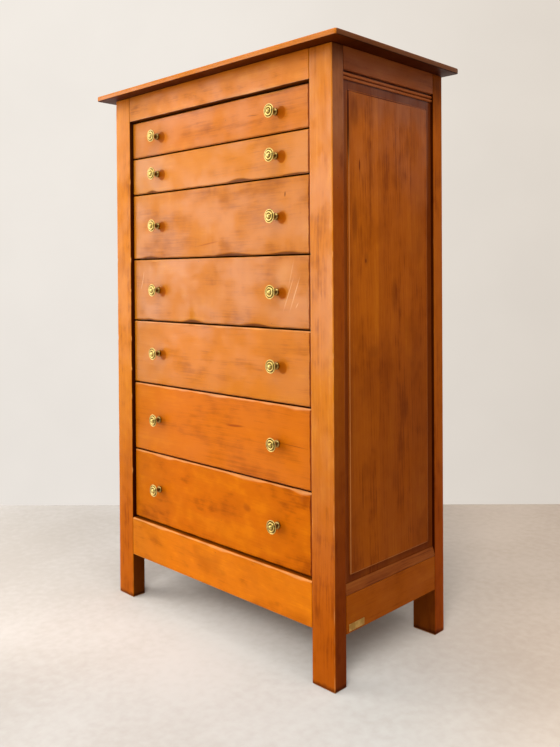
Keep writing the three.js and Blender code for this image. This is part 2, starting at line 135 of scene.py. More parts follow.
# %% A short hand for node trees
class Sketch:
    """Adds nodes to one tree. What feeds a socket is a number, a colour or another node's output."""

    def __init__(self, tree):
        self.tree = tree

    def node(self, kind, feeds=None, **settings):
        made = self.tree.nodes.new(kind)
        for name, value in settings.items():
            setattr(made, name, value)
        for key, value in (feeds or {}).items():
            if isinstance(value, bpy.types.NodeSocket):
                self.tree.links.new(value, made.inputs[key])
            else:
                made.inputs[key].default_value = value
        return made

    def math(self, operation, *values):
        feeds = dict(enumerate(values))
        return self.node("ShaderNodeMath", feeds, operation=operation).outputs[0]

    def times(self, first, second):
        return self.math("MULTIPLY", first, second)

    def plus(self, first, second):
        return self.math("ADD", first, second)

    def noise(self, vector, stretch, detail=2):
        """Soft random values around 0.5. The stretch is how many features a metre holds on each axis."""
        scaled = self.node("ShaderNodeMapping", {"Vector": vector, "Scale": stretch}).outputs[0]
        feeds = {"Vector": scaled, "Scale": 1.0, "Detail": detail}
        return self.node("ShaderNodeTexNoise", feeds).outputs["Fac"]

    def mask(self, value, off, full):
        """0 where the value is at off, 1 where it is at full, and a soft step between them."""
        feeds = {"Value": value, "From Min": off, "From Max": full}
        return self.node("ShaderNodeMapRange", feeds, interpolation_type="SMOOTHSTEP").outputs["Result"]

    def spread(self, value, at_none, at_full):
        feeds = {"Value": value, "To Min": at_none, "To Max": at_full}
        return self.node("ShaderNodeMapRange", feeds).outputs[0]

    def blend(self, factor, first, second, how="MIX"):
        feeds = {0: factor, 6: first, 7: second}
        return self.node("ShaderNodeMix", feeds, data_type="RGBA", blend_type=how).outputs[2]

    def spot(self):
        """The place on the surface, in metres from its object's own origin."""
        return self.node("ShaderNodeTexCoord").outputs["Object"]

    def bump(self, strength, distance, height):
        feeds = {"Strength": strength, "Distance": distance, "Height": height}
        return self.node("ShaderNodeBump", feeds).outputs[0]

    def split(self, vector):
        return self.node("ShaderNodeSeparateXYZ", {0: vector}).outputs

    def surface(self, feeds):
        shader = self.node("ShaderNodeBsdfPrincipled", feeds)
        self.node("ShaderNodeOutputMaterial", {"Surface": shader.outputs["BSDF"]})


def new_material(name):
    material = bpy.data.materials.new(name)
    material.use_nodes = True
    material.node_tree.nodes.clear()
    return material, Sketch(material.node_tree)


def new_group(name, inputs, outputs):
    """A reusable effect with named sockets. Each input is a title, a kind and its starting value."""
    tree = bpy.data.node_groups.new(name, "ShaderNodeTree")
    for title, kind, start in inputs:
        socket = tree.interface.new_socket(title, in_out="INPUT", socket_type="NodeSocket" + kind)
        socket.default_value = start
    for title, kind in outputs:
        tree.interface.new_socket(title, in_out="OUTPUT", socket_type="NodeSocket" + kind)
    sketch = Sketch(tree)
    return tree, sketch, sketch.node("NodeGroupInput").outputs, sketch.node("NodeGroupOutput").inputs


# %% [markdown]
# ## The room
# The chest stands in a plain pale room. The floor is a big plane, trowelled and slightly cloudy, with
# painted shade in front of the chest and to its right. The wall glows, painted lighter at the left,
# dimmer at the right and shaded at its foot. It only gives the camera and the brass its colour: it casts
# no shadow, and from behind it is clear, so that every side of the chest can be seen.

# %% Floor and wall
ROOM_SIZE = 14
WALL_DISTANCE = 2.955
WALL_TURN = math.radians(-0.585)
FLOOR_DARK = (0.400, 0.357, 0.313, 1)
FLOOR_PALE = (0.470, 0.435, 0.396, 1)
# painted shade: the floor darker in front of the chest, and warmer and darker to its right
FLOOR_FRONT_SHADE = (0.80, 0.83, 0.85, 1)
FLOOR_RIGHT_WARM_SHADE = (1.02, 0.90, 0.80, 1)
# the wall glows as a backdrop: painted light at the left, dimmer at the right, painted shade at its foot
WALL_LIT = (0.895, 0.840, 0.775, 1)
WALL_DIM = (0.755, 0.685, 0.605, 1)
WALL_FOOT_SHADE = (0.93, 0.93, 0.935, 1)
PLASTER_TONE = (0.965, 0.965, 0.965, 1)
# where a painted shade on the floor begins and where it is full: away from the camera and across its view
FRONT_AWAY = (-0.05, -0.50)
FRONT_ACROSS = (1.0, 0.2)
RIGHT_ACROSS = (0.25, 0.72)
# and on the wall across it and up, from its middle
WALL_ACROSS = (-0.9, 1.1)
WALL_DOWN = (-5.3, -6.9)
CLOUD_SHARE = 0.7
GRIT_SHARE = 0.3


def plane(name, size):
    bm = bmesh.new()
    bmesh.ops.create_grid(bm, x_segments=1, y_segments=1, size=size / 2)
    mesh = bpy.data.meshes.new(name)
    bm.to_mesh(mesh)
    bm.free()
    thing = bpy.data.objects.new(name, mesh)
    bpy.context.scene.collection.objects.link(thing)
    thing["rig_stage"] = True
    return thing


floor = plane("floor", ROOM_SIZE)
wall = plane("wall", ROOM_SIZE)
ahead = Vector((-math.sin(CAMERA_AZIMUTH), math.cos(CAMERA_AZIMUTH), 0))
wall_foot = Vector((CAMERA_PLACE.x, CAMERA_PLACE.y, 0)) + ahead * WALL_DISTANCE
wall.matrix_world = (
    Matrix.Translation(wall_foot + Vector((0, 0, ROOM_SIZE / 2)))
    @ Matrix.Rotation(CAMERA_AZIMUTH + WALL_TURN, 4, "Z")
    @ Matrix.Rotation(math.pi / 2, 4, "X")
)
wall.visible_shadow = False
wall.visible_diffuse = False


def floor_finish():
    material, s = new_material("pale_floor")
    place = s.spot()
    cloud = s.times(s.noise(place, (1.6, 1.6, 1.6), 3), CLOUD_SHARE)
    grit = s.times(s.noise(place, (45, 45, 45), 4), GRIT_SHARE)
    both = s.plus(cloud, grit)
    colour = s.blend(s.mask(both, 0.35, 0.65), FLOOR_DARK, FLOOR_PALE)
    feeds = {"Vector": place, "Rotation": (0, 0, -CAMERA_AZIMUTH)}
    turned = s.node("ShaderNodeMapping", feeds).outputs[0]
    across, away, _ = s.split(turned)
    # the painted shade in front of the chest, then the warm painted shade to its right
    front = s.times(s.mask(away, *FRONT_AWAY), s.mask(across, *FRONT_ACROSS))
    colour = s.blend(front, colour, FLOOR_FRONT_SHADE, "MULTIPLY")
    colour = s.blend(s.mask(across, *RIGHT_ACROSS), colour, FLOOR_RIGHT_WARM_SHADE, "MULTIPLY")
    s.surface({"Base Color": colour, "Roughness": 0.75})
    return material


def wall_finish():
    material, s = new_material("pale_wall")
    place = s.spot()
    side = s.mask(s.split(place)[X], *WALL_ACROSS)
    foot = s.mask(s.split(place)[Y], *WALL_DOWN)
    plaster = s.mask(s.noise(place, (3, 3, 3), 4), 0.2, 0.8)
    # painted light across the wall, and painted shade at its foot
    colour = s.blend(side, WALL_LIT, WALL_DIM)
    colour = s.blend(foot, colour, WALL_FOOT_SHADE, "MULTIPLY")
    colour = s.blend(plaster, colour, PLASTER_TONE, "MULTIPLY")
    glow = s.node("ShaderNodeEmission", {"Color": colour, "Strength": 1.0}).outputs[0]
    clear = s.node("ShaderNodeBsdfTransparent").outputs[0]
    behind = s.node("ShaderNodeNewGeometry").outputs["Backfacing"]
    seen = s.node("ShaderNodeMixShader", {0: behind, 1: glow, 2: clear}).outputs[0]
    s.node("ShaderNodeOutputMaterial", {"Surface": seen})
    return material


floor.data.materials.append(floor_finish())
wall.data.materials.append(wall_finish())

# %% [markdown]
# ## The light
# One broad window-like lamp stands to the left in front of the chest. It lights the drawers, and its
# reflection gives the varnish its milky sheen, down to where the reflection meets the floor. A smaller
# lamp high on the same side stands for the sky. A lamp overhead lights the floor and the top, and one
# at the right lights that side from above, so that the overhang of the top shades what is under it.
# Two more reach in under the chest and are linked to the floor alone, so the wood keeps its own light.
# The air of the room fills the rest.

# %% Lamps and world
LAMPS = {
    # place, target, width and height, power in watts
    "window_lamp": ((-1.75, -1.95, 1.19), (0.2, -0.43, 0.97), (3.2, 1.60), 48.5),
    "sky_lamp": ((-1.60, -2.10, 2.75), (0, -0.2, 0.8), (1.5, 0.9), 12),
    "ceiling_lamp": ((0.85, -1.10, 3.0), (0.1, -0.3, 0), (2.4, 2.0), 50),
    "floor_lamp_right": ((2.4, -3.0, 2.3), (0, 0, 0), (1.6, 1.2), 186),
    "floor_lamp_left": ((-3.4, -2.2, 2.0), (0, 0, 0), (1.6, 1.2), 84),
    "side_lamp": ((1.75, 0.0, 2.85), (0.4, 0, 0.9), (1.1, 1.1), 17),
}
AIR_TONE = (1.0, 0.97, 0.93, 1)
AIR_STRENGTH = 0.36

lit_by_floor_lamp = bpy.data.collections.new("lit_by_floor_lamp")
lit_by_floor_lamp.objects.link(floor)
for name, (place, target, size, power) in LAMPS.items():
    light = bpy.data.lights.new(name, "AREA")
    light.shape = "RECTANGLE"
    light.size, light.size_y = size
    light.energy = power
    holder = bpy.data.objects.new(name, light)
    aim = Vector(target) - Vector(place)
    turn = aim.to_track_quat("-Z", "Y").to_matrix().to_4x4()
    holder.matrix_world = Matrix.Translation(place) @ turn
    bpy.context.scene.collection.objects.link(holder)
    if name.startswith("floor_lamp"):
        holder.light_linking.receiver_collection = lit_by_floor_lamp

world = bpy.data.worlds.new("room_air")
world.use_nodes = True
bpy.context.scene.world = world
world.node_tree.nodes["Background"].inputs["Color"].default_value = AIR_TONE
world.node_tree.nodes["Background"].inputs["Strength"].default_value = AIR_STRENGTH
bpy.context.scene.view_settings.view_transform = "Standard"
print("lamps:", sorted(LAMPS))

# %% [markdown]
# ## The figure of the wood
# Sawn wood shows the tree it came from: rings that a plank cuts at a slant, long streaks, fine fibres,
# and clouds where the stain went in deeper. A picture of wood could be wrapped round each board, but
# it would stretch and repeat. Here the figure is computed in space, so it runs through the board and
# shows end grain at the ends. One group makes it for every board, from a vector whose X is turned
# along the grain.


# %% The wood group
HEART_AWAY = 0.055
HEART_SLANT = 0.05
HEART_DRIFT = 0.09
RING_WIDTH = 0.0085
PIT_TONE = (0.06, 0.02, 0.005, 1)
PIT_SHARE = 0.75


def wood_group():
    tree, s, given, result = new_group(
        "wood_figure",
        [
            ("Vector", "Vector", (0, 0, 0)),
            ("Dark", "Color", (0.4, 0.08, 0.01, 1)),
            ("Main", "Color", (0.7, 0.17, 0.01, 1)),
            ("Light", "Color", (0.8, 0.26, 0.02, 1)),
            ("Cloud", "Float", 1.0),
            ("Grain", "Float", 1.0),
            ("Mottle", "Float", 1.0),
            ("Ripple", "Float", 0.0),
            ("Stain", "Float", 0.0),
        ],
        [("Color", "Color"), ("Height", "Float"), ("Haze", "Float")],
    )
    vector = given["Vector"]
    drift = s.noise(vector, (1.5, 7, 7), 1)
    x, y, z = s.split(vector)
    # the heart of the tree lies a little outside the board and drifts along it
    across = s.plus(s.plus(y, HEART_AWAY), s.times(x, HEART_SLANT))
    up = s.plus(z, s.times(drift, HEART_DRIFT))
    radius = s.math("SQRT", s.plus(s.math("POWER", across, 2), s.math("POWER", up, 2)))
    ring = s.math("POWER", s.math("FRACT", s.math("DIVIDE", radius, RING_WIDTH)), 2.5)
    cloud = s.noise(vector, (5, 14, 14), 4)
    blotch = s.noise(vector, (26, 40, 40), 3)
    band = s.noise(vector, (1.1, 34, 34), 2)
    streak = s.noise(vector, (3, 120, 120), 3)
    fibre = s.noise(vector, (18, 460, 460), 2)
    rippled = s.mask(s.noise(vector, (6, 9, 9), 1), 0.4, 0.65)
    ripple = s.times(s.noise(vector, (85, 9, 9), 1), rippled)
    tone = 0.5
    for value, strength, middle, amount in (
        (cloud, given["Cloud"], 0.5, 1.0),
        (blotch, given["Mottle"], 0.5, 0.9),
        (ripple, given["Ripple"], 0.25, 0.6),
        (band, given["Grain"], 0.5, 0.7),
        (streak, given["Grain"], 0.5, 0.5),
        (fibre, given["Grain"], 0.5, 0.6),
        (ring, given["Grain"], 0.3, -0.12),
    ):
        centred = s.math("SUBTRACT", value, middle)
        part = s.times(s.times(centred, amount), strength)
        tone = s.plus(tone, part)
    lower = s.blend(s.mask(tone, 0.0, 0.5), given["Dark"], given["Main"])
    colour = s.blend(s.mask(tone, 0.5, 1.0), lower, given["Light"])
    # where the stain went in deeper
    streaked = s.times(s.math("SUBTRACT", streak, 0.5), 0.2)
    deep = s.plus(s.noise(vector, (10, 19, 19), 3), streaked)
    soaked = s.times(s.mask(deep, 0.48, 0.76), given["Stain"])
    colour = s.blend(soaked, colour, given["Dark"])
    # small dark pits, a few to a board
    spot = s.node("ShaderNodeTexVoronoi", {"Vector": vector, "Scale": 42.0}).outputs
    near = s.mask(spot["Distance"], 0.05, 0.025)
    chosen = s.mask(s.split(spot["Color"])[X], 0.72, 0.74)
    pit = s.times(near, chosen)
    colour = s.blend(s.times(pit, PIT_SHARE), colour, PIT_TONE)
    s.tree.links.new(colour, result["Color"])
    height = s.plus(s.times(fibre, 0.5), s.times(streak, 0.5))
    s.tree.links.new(s.math("SUBTRACT", height, pit), result["Height"])
    # varnish has sunk away where the wood is dark, so those places are duller
    haze = s.mask(s.noise(vector, (9, 13, 13), 3), 0.32, 0.68)
    sunk = s.times(s.math("SUBTRACT", 0.5, tone), 0.9)
    haze = s.plus(s.plus(haze, sunk), s.times(soaked, 0.8))
    s.tree.links.new(haze, result["Haze"])
    return tree


WOOD = wood_group()
print("wood group:", len(WOOD.nodes), "nodes")

# %% [markdown]
# ## Marks
# Years leave single marks too: a crack that starts at a knob, a dark mineral streak, a rub. Each one is
# a soft ellipse with a place, a turn and half sizes. One group makes the mask of such a mark.


# %% The mark group
def mark_group():
    tree, s, given, result = new_group(
        "mark",
        [
            ("Vector", "Vector", (0, 0, 0)),
            ("Centre", "Vector", (0, 0, 0)),
            ("Turn", "Vector", (0, 0, 0)),
            ("Half Size", "Vector", (1, 1, 1)),
            ("Core", "Float", 0.35),
        ],
        [("Mask", "Float")],
    )
    feeds = {"Vector": given["Vector"], "Location": given["Centre"], "Rotation": given["Turn"]}
    feeds["Scale"] = given["Half Size"]
    local = s.node("ShaderNodeMapping", feeds, vector_type="TEXTURE").outputs[0]
    size = s.node("ShaderNodeVectorMath", {0: local}, operation="LENGTH").outputs["Value"]
    s.tree.links.new(s.mask(size, 1.0, given["Core"]), result["Mask"])
    return tree


MARK = mark_group()

# %% [markdown]
# ## The varnished boards
# Every varnished board has its own figure and its own tone, because each is cut from another plank.
# The wood lies under a coat of worn varnish, cloudy in places, so the coat's weight follows a haze.
# Two attributes of the mesh come in. worn is where an arris has been rubbed, and its lighter tone
# there is also a painted highlight. shade is old dirt along the ends of a board, and painted shade in
# the gaps, in recesses and on scoops that face down.

# %% The varnish function
ALONG_X = (0, 0, 0)
ALONG_Y = (0, 0, -math.pi / 2)
ALONG_Z = (0, math.pi / 2, 0)
DARKEST = 0.62
LIGHTEST = 1.14
ROUGHNESS = (0.40, 0.58)
GRAIN_DEPTH = 0.4 * MM
TOOTH_STRETCH = (55, 55, 55)
# shade tone: old dirt and painted shade; rubbed tone: worn wood that is also a painted highlight
SHADE_TONE = (0.075, 0.010, 0.001, 1)
RUBBED_AND_HIGHLIGHT_TONE = (0.95, 0.42, 0.12, 1)
RUBBED_AND_HIGHLIGHT_SHARE = 0.6
RUBBED_SHINE = 0.16
SHADE_SHARE = 0.95
WARM_TINT = (1.0, 0.42, 0.10, 1)


def wood_figure(s, spot, along, place, looks):
    """The wood group on one board: its X turned along the grain, and its own part of the tree."""
    feeds = {"Vector": spot, "Location": place, "Rotation": along}
    turned = s.node("ShaderNodeMapping", feeds).outputs[0]
    return s.node("ShaderNodeGroup", {"Vector": turned, **looks}, node_tree=WOOD).outputs


def varnished(name, main, along, place, coat, cloud=1.0, grain=1.0, mottle=1.0, ripple=0.0, stain=0.0,
              zones=(), marks=(), dull=()):
    """A zone is (limits, colour, strength, raggedness), and each limit is (axis, off, full)."""
    material, s = new_material(name)
    spot = s.spot()
    red, green, blue = main
    looks = {
        "Dark": (red * DARKEST, green * DARKEST * 0.86, blue * DARKEST, 1),
        "Main": (red, green, blue, 1),
        "Light": (red * LIGHTEST, green * LIGHTEST * 1.14, blue * 1.3, 1),
        "Cloud": cloud,
        "Grain": grain,
        "Mottle": mottle,
        "Ripple": ripple,
        "Stain": stain,
    }
    figure = wood_figure(s, spot, along, place, looks)
    colour = figure["Color"]
    left_over = 1.0
    for centre, turn, half, tone, strength, *core in marks:
        feeds = {"Vector": spot, "Centre": centre, "Turn": turn, "Half Size": half}
        for value in core:
            feeds["Core"] = value
        mark = s.node("ShaderNodeGroup", feeds, node_tree=MARK).outputs["Mask"]
        mark_here = s.times(mark, strength)
        colour = s.blend(mark_here, colour, tone)
        left_over = s.times(left_over, s.math("SUBTRACT", 1, mark_here))
    places = s.split(spot)

    def reach(limits, strength, ragged=0.0):
        for axis, off, full in limits:
            place_on_axis = places[axis]
            if ragged:
                tooth = s.math("SUBTRACT", s.noise(spot, TOOTH_STRETCH, 3), 0.5)
                place_on_axis = s.plus(place_on_axis, s.times(tooth, ragged))
            strength = s.times(strength, s.mask(place_on_axis, off, full))
        return strength

    for limits, tone, *strength_and_tooth in zones:
        colour = s.blend(reach(limits, *strength_and_tooth), colour, tone, "MULTIPLY")
    # worn mixes in rubbed wood and a painted highlight; shade mixes in dirt and painted shade
    worn = s.node("ShaderNodeAttribute", attribute_name="worn").outputs["Fac"]
    colour = s.blend(s.times(worn, RUBBED_AND_HIGHLIGHT_SHARE), colour, RUBBED_AND_HIGHLIGHT_TONE)
    shade = s.node("ShaderNodeAttribute", attribute_name="shade").outputs["Fac"]
    colour = s.blend(s.times(shade, SHADE_SHARE), colour, SHADE_TONE)
    varnish = s.times(s.spread(figure["Haze"], coat * 1.5, coat * 0.5), left_over)
    for limits, *strength_and_tooth in dull:
        varnish = s.times(varnish, s.math("SUBTRACT", 1, reach(limits, *strength_and_tooth)))
    varnish = s.plus(varnish, s.times(worn, RUBBED_SHINE))
    s.surface(
        {
            "Base Color": colour,
            "Roughness": s.spread(figure["Haze"], *ROUGHNESS),
            "Specular IOR Level": 0.04,
            "Specular Tint": WARM_TINT,
            "Coat Weight": varnish,
            "Coat Roughness": 0.27,
            "Coat IOR": 1.5,
            "Normal": s.bump(0.35, GRAIN_DEPTH, figure["Height"]),
        }
    )
    return material


# %% [markdown]
# ## Bare wood, back board and brass
# Inside, the drawers are bare planed wood that has darkened a little. The back is a thin stained
# board. The knobs are turned brass, pale where fingers polish it and brown in the grooves, which an
# attribute of the mesh marks.


# %% The other finishes
BARE_LOOKS = {"Grain": 1.2, "Cloud": 0.6, "Mottle": 0.35}


def scaled(colour, factor):
    return tuple(c * factor for c in colour) + (1,)


def bare_wood(name, main, along, roughness):
    material, s = new_material(name)
    spot = s.spot()
    looks = {"Dark": scaled(main, 0.62), "Main": scaled(main, 1), "Light": scaled(main, 1.18), **BARE_LOOKS}
    figure = wood_figure(s, spot, along, (0, 0, 0), looks)
    feeds = {"Base Color": figure["Color"], "Roughness": roughness, "Specular IOR Level": 0.2}
    s.surface({**feeds, "Normal": s.bump(0.5, GRAIN_DEPTH, figure["Height"])})
    return material


BRASS_BRIGHT = (0.80, 0.60, 0.20, 1)
BRASS_DULL = (0.62, 0.44, 0.12, 1)
BRASS_BROWN = (0.10, 0.040, 0.004, 1)
BROWN_SHARE = 0.97
POLISH_SPREAD = 0.04
SCRATCH_DEPTH = 0.05 * MM
PLATE_BRIGHT = (0.62, 0.40, 0.12, 1)
PLATE_DULL = (0.42, 0.24, 0.06, 1)


def brass_finish(name, roughness, bright=BRASS_BRIGHT, worn_down=BRASS_DULL):
    material, s = new_material(name)
    spot = s.spot()
    patch = s.noise(spot, (70, 70, 70), 3)
    fine = s.noise(spot, (900, 900, 900), 2)
    groove = s.node("ShaderNodeAttribute", attribute_name="groove").outputs["Fac"]
    colour = s.blend(s.mask(patch, 0.35, 0.65), worn_down, bright)
    colour = s.blend(s.times(groove, BROWN_SHARE), colour, BRASS_BROWN)
    polish = s.spread(patch, roughness + POLISH_SPREAD, roughness - POLISH_SPREAD)
    bump = s.bump(0.15, SCRATCH_DEPTH, fine)
    s.surface({"Base Color": colour, "Metallic": 1.0, "Roughness": polish, "Normal": bump})
    return material


def dress(name, material):
    """Gives a CAD node a new finish."""
    mesh = frame["nodes"][name].data
    mesh.materials.clear()
    mesh.materials.append(material)


BRASS = brass_finish("turned_brass", 0.30)
BOX_WOOD = bare_wood("drawer_side_wood", (0.46, 0.27, 0.12), ALONG_Y, 0.6)
BOTTOM_WOOD = bare_wood("drawer_bottom_wood", (0.50, 0.31, 0.15), ALONG_X, 0.65)
GUIDE_WOOD = bare_wood("guide_wood", (0.36, 0.20, 0.09), ALONG_Y, 0.7)
BACK_WOOD = bare_wood("back_board_wood", (0.26, 0.12, 0.045), ALONG_Z, 0.7)
for n in DRAWERS:
    dress(f"drawer_{n}_box", BOX_WOOD)
    dress(f"drawer_{n}_bottom", BOTTOM_WOOD)
for _, word in SIDES:
    dress(f"guide_board_{word}", GUIDE_WOOD)
for end in ("front", "rear"):
    dress(f"top_cleat_{end}", BOTTOM_WOOD)
dress("back_panel", BACK_WOOD)
print("plain finishes:", [m.name for m in (BRASS, BOX_WOOD, BOTTOM_WOOD, GUIDE_WOOD, BACK_WOOD)])

# %% [markdown]
# ## Worn boards
# The measured boards have straight arrises. On the real chest hands and drawers have rubbed them into
# long shallow scoops, which catch the light on the lower drawers. A sculptor would push a dense mesh
# about. Here each board is copied, cut into strips near the arris with bisect_plane, and every corner
# point outside a slanting wear plane is moved onto it, so the board stays straight everywhere else.

# %% Tools for wearing an arris
COLUMN = 4 * MM
ROWS_ON_FACE = (1, 2, 3, 4, 5.5, 7, 8.5, 10)
ROWS_IN_DEPTH = (1.5, 3, 4.5)
DEPTH_SHARE = 0.5
WEAR_REACH = 12 * MM
UNEVEN = 0.55
WAVES_PER_M = 28
LEAST_WEAR = 0.4
WEAR_CONTRAST = 1.6
CREASE = math.radians(16)
MERGE = 0.001 * MM
FLAT = 0.01 * MM


def board_copy(name):
    bm = bmesh.new()
    bm.from_mesh(frame["nodes"][name].data)
    bmesh.ops.remove_doubles(bm, verts=bm.verts[:], dist=MERGE)
    bmesh.ops.dissolve_limit(bm, angle_limit=math.radians(0.5), verts=bm.verts[:], edges=bm.edges[:])
    return bm


def score(bm, axis, places):
    normal = Vector((0, 0, 0))
    normal[axis] = 1
    for place in places:
        everything = bm.verts[:] + bm.edges[:] + bm.faces[:]
        bmesh.ops.bisect_plane(bm, geom=everything, plane_co=normal * place, plane_no=normal, dist=MERGE)


def strips(low, high, step):
    count = max(2, round((high - low) / step))
    return [low + (high - low) * i / count for i in range(1, count)]


def scored_front(node):
    """A copy of a board of the front, cut into strips near its arrises, with room for both attributes."""
    low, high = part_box(node)
    bm = board_copy(node)
    worn = bm.verts.layers.float.new("worn")
    shade = bm.verts.layers.float.new("shade")
    score(bm, X, strips(low.x, high.x, COLUMN))
    score(bm, Z, [low.z + row * MM for row in ROWS_ON_FACE] + [high.z - row * MM for row in ROWS_ON_FACE])
    score(bm, Y, [low.y + row * MM for row in ROWS_IN_DEPTH])
    return bm, low, high, worn, shade


def worn_width(along, base, scoops, seed):
    """How wide the wear is at one place: uneven everywhere, and wider in the scoops."""
    width = base * (1 + UNEVEN * noise.noise(Vector((along * WAVES_PER_M, seed, 0))))
    for centre, half, extra in scoops:
        reach = abs(along - centre * MM) / (half * MM)
        if reach < 1:
            width += extra * (0.5 + 0.5 * math.cos(math.pi * reach))
    return max(width, LEAST_WEAR) * MM


def wear(bm, layer, run, face, edge, base, scoops=(), seed=1, strength=1.0):
    """face and edge are (axis, plane, outward sign): the two planes that meet in the arris."""
    (fa, fp, fs), (ea, ep, es) = face, edge
    for vert in bm.verts:
        depth = (fp - vert.co[fa]) * fs
        inset = (ep - vert.co[ea]) * es
        if depth > WEAR_REACH or inset > WEAR_REACH:
            continue
        width = worn_width(vert.co[run], base, scoops, seed)
        cut = width * DEPTH_SHARE
        outside = 1 - depth / cut - inset / width
        if outside <= 0:
            continue
        push = outside / (1 / cut**2 + 1 / width**2)
        vert.co[fa] -= fs * push / cut
        vert.co[ea] -= es * push / width
        vert[layer] = max(vert[layer], strength * min(1, outside * WEAR_CONTRAST))


def rim(bm, shade, low, high, strength, reach, seed):
    """Old dirt and stain along the ends of a board, fading over a few centimetres."""
    for vert in bm.verts:
        inset = min(vert.co.x - low.x, high.x - vert.co.x, (vert.co.z - low.z) * 2, (high.z - vert.co.z) * 2)
        patch = 0.7 + 0.9 * noise.noise(Vector((vert.co.x * 22, seed, vert.co.z * 22)))
        vert[shade] = max(vert[shade], strength * patch * math.exp(-max(inset, 0) / (reach * MM)))


def stand_in(bm, name, node, material, crease=CREASE):
    """Makes the finished mesh a piece that takes the CAD node's place and moves with its body."""
    for face in bm.faces:
        face.smooth = True
    mesh = bpy.data.meshes.new(name)
    bm.to_mesh(mesh)
    bm.free()
    mesh.set_sharp_from_angle(angle=crease)
    mesh.materials.append(material)
    piece = bpy.data.objects.new(name, mesh)
    bpy.context.scene.collection.objects.link(piece)
    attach(piece, frame["nodes"][node]["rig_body"])
    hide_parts(node)
    return piece


# %% [markdown]
# ## The seven drawer fronts
# Each front is a thick board with its grain running sideways. The scoops follow the photograph: the
# second to fourth drawers are worn most along their lower edge, and the others along the upper edge,
# where a hand pushes them shut. The lower scoops are painted dark as shade, and the upper ones take
# the rubbed tone, which is also a painted highlight.

# %% Drawer fronts
FRONT_LOOKS = {
    # drawer: tone, coat, stain, cloud, mottle, grain, ripple
    1: ((0.66, 0.179, 0.004), 0.34, 0.15, 0.9, 0.6, 0.6, 0.0),
    2: ((0.655, 0.197, 0.004), 0.39, 0.1, 0.9, 0.6, 0.55, 0.0),
    3: ((0.62, 0.182, 0.003), 0.39, 0.1, 0.9, 0.5, 0.5, 0.9),
    4: ((0.61, 0.178, 0.003), 0.46, 0.15, 0.9, 0.6, 0.55, 0.5),
    5: ((0.67, 0.19, 0.003), 0.43, 0.2, 0.9, 0.6, 0.7, 0.0),
    6: ((0.69, 0.164, 0.002), 0.13, 0.1, 1.0, 0.5, 0.6, 0.0),
    7: ((0.65, 0.145, 0.001), 0.0, 0.25, 1.8, 1.2, 0.6, 0.0),
}
FRONT_WEAR = {
    # drawer: rim, top edge, painted shade at the left end, its dullness, painted knob shadows, their core
    1: (0.28, 1.6, 1.0, 0.25, 0.95, 0.8),
    2: (0.22, 1.6, 0.9, 0.0, 0.95, 0.8),
    3: (0.22, 1.6, 0.45, 0.0, 0.95, 0.75),
    4: (0.22, 2.0, 0.55, 0.0, 0.95, 0.7),
    5: (0.26, 2.8, 0.9, 0.0, 0.85, 0.7),
    6: (0.2, 3.6, 0.9, 0.0, 0.3, 0.2),
    7: (0.2, 4.0, 1.0, 0.0, 0.3, 0.2),
}
TOP_SCOOPS = {
    1: [(220, 90, 3.5)],
    4: [(-228, 56, 3)],
    5: [(30, 50, 2)],
    6: [(12, 50, 4), (285, 50, 4), (-180, 60, 2)],
    7: [(-196, 66, 4), (112, 80, 5), (300, 50, 5)],
}
BOTTOM_SCOOPS = {
    2: [(-253, 32, 5), (100, 56, 7), (286, 60, 2.2)],
    3: [(-262, 50, 4), (70, 82, 6), (262, 62, 4.5)],
    4: [(-270, 30, 3), (-81, 52, 7), (155, 55, 5.5)],
}
BOTTOM_BASE = 2.4
BOTTOM_SHADE = 0.85
FRONT_RIM_REACH = 14
# painted shade in the gaps: on the edges of a front it starts this far behind its face,
# and it is full after the second value
EDGE_SHADE_START = 2.4 * MM
EDGE_SHADE_FADE = 2 * MM
FACE = -0.173
KNOB_X = 0.226
STREAK_TONE = (0.33, 0.05, 0.003, 1)
SCRATCH_TONE = (0.86, 0.46, 0.22, 1)
SCRATCHES = [
    # place along the drawer, height, half length, lean from upright in degrees, strength
    (0.264, 0.826, 0.050, 24, 0.95), (0.284, 0.826, 0.052, 23, 1.0), (0.291, 0.802, 0.010, 35, 0.95),
    (0.273, 0.871, 0.038, 16, 0.55), (-0.296, 0.862, 0.026, 12, 0.6), (-0.302, 0.846, 0.018, 15, 0.6),
]
PALE_RUB = ((0.250, FACE, 0.870), (0, 0.45, 0), (0.033, 0.02, 0.050), (0.84, 0.39, 0.15, 1), 0.40, 0.1)
# painted shade: the left ends darker, to even out the lamp that stands nearer to them
LEFT_END_PAINTED_SHADE = ([(X, -0.12, -0.36)], (0.82, 0.88, 1.0, 1), 1.0)
# a painted shadow of each knob's head on the front, to its right and a little lower
KNOB_SHADOW_TONE = (0.43, 0.088, 0.0002, 1)
KNOB_SHADOW_HALF = 15.5 * MM
KNOB_SHADOW_SHIFT = (18 * MM, -3.5 * MM)
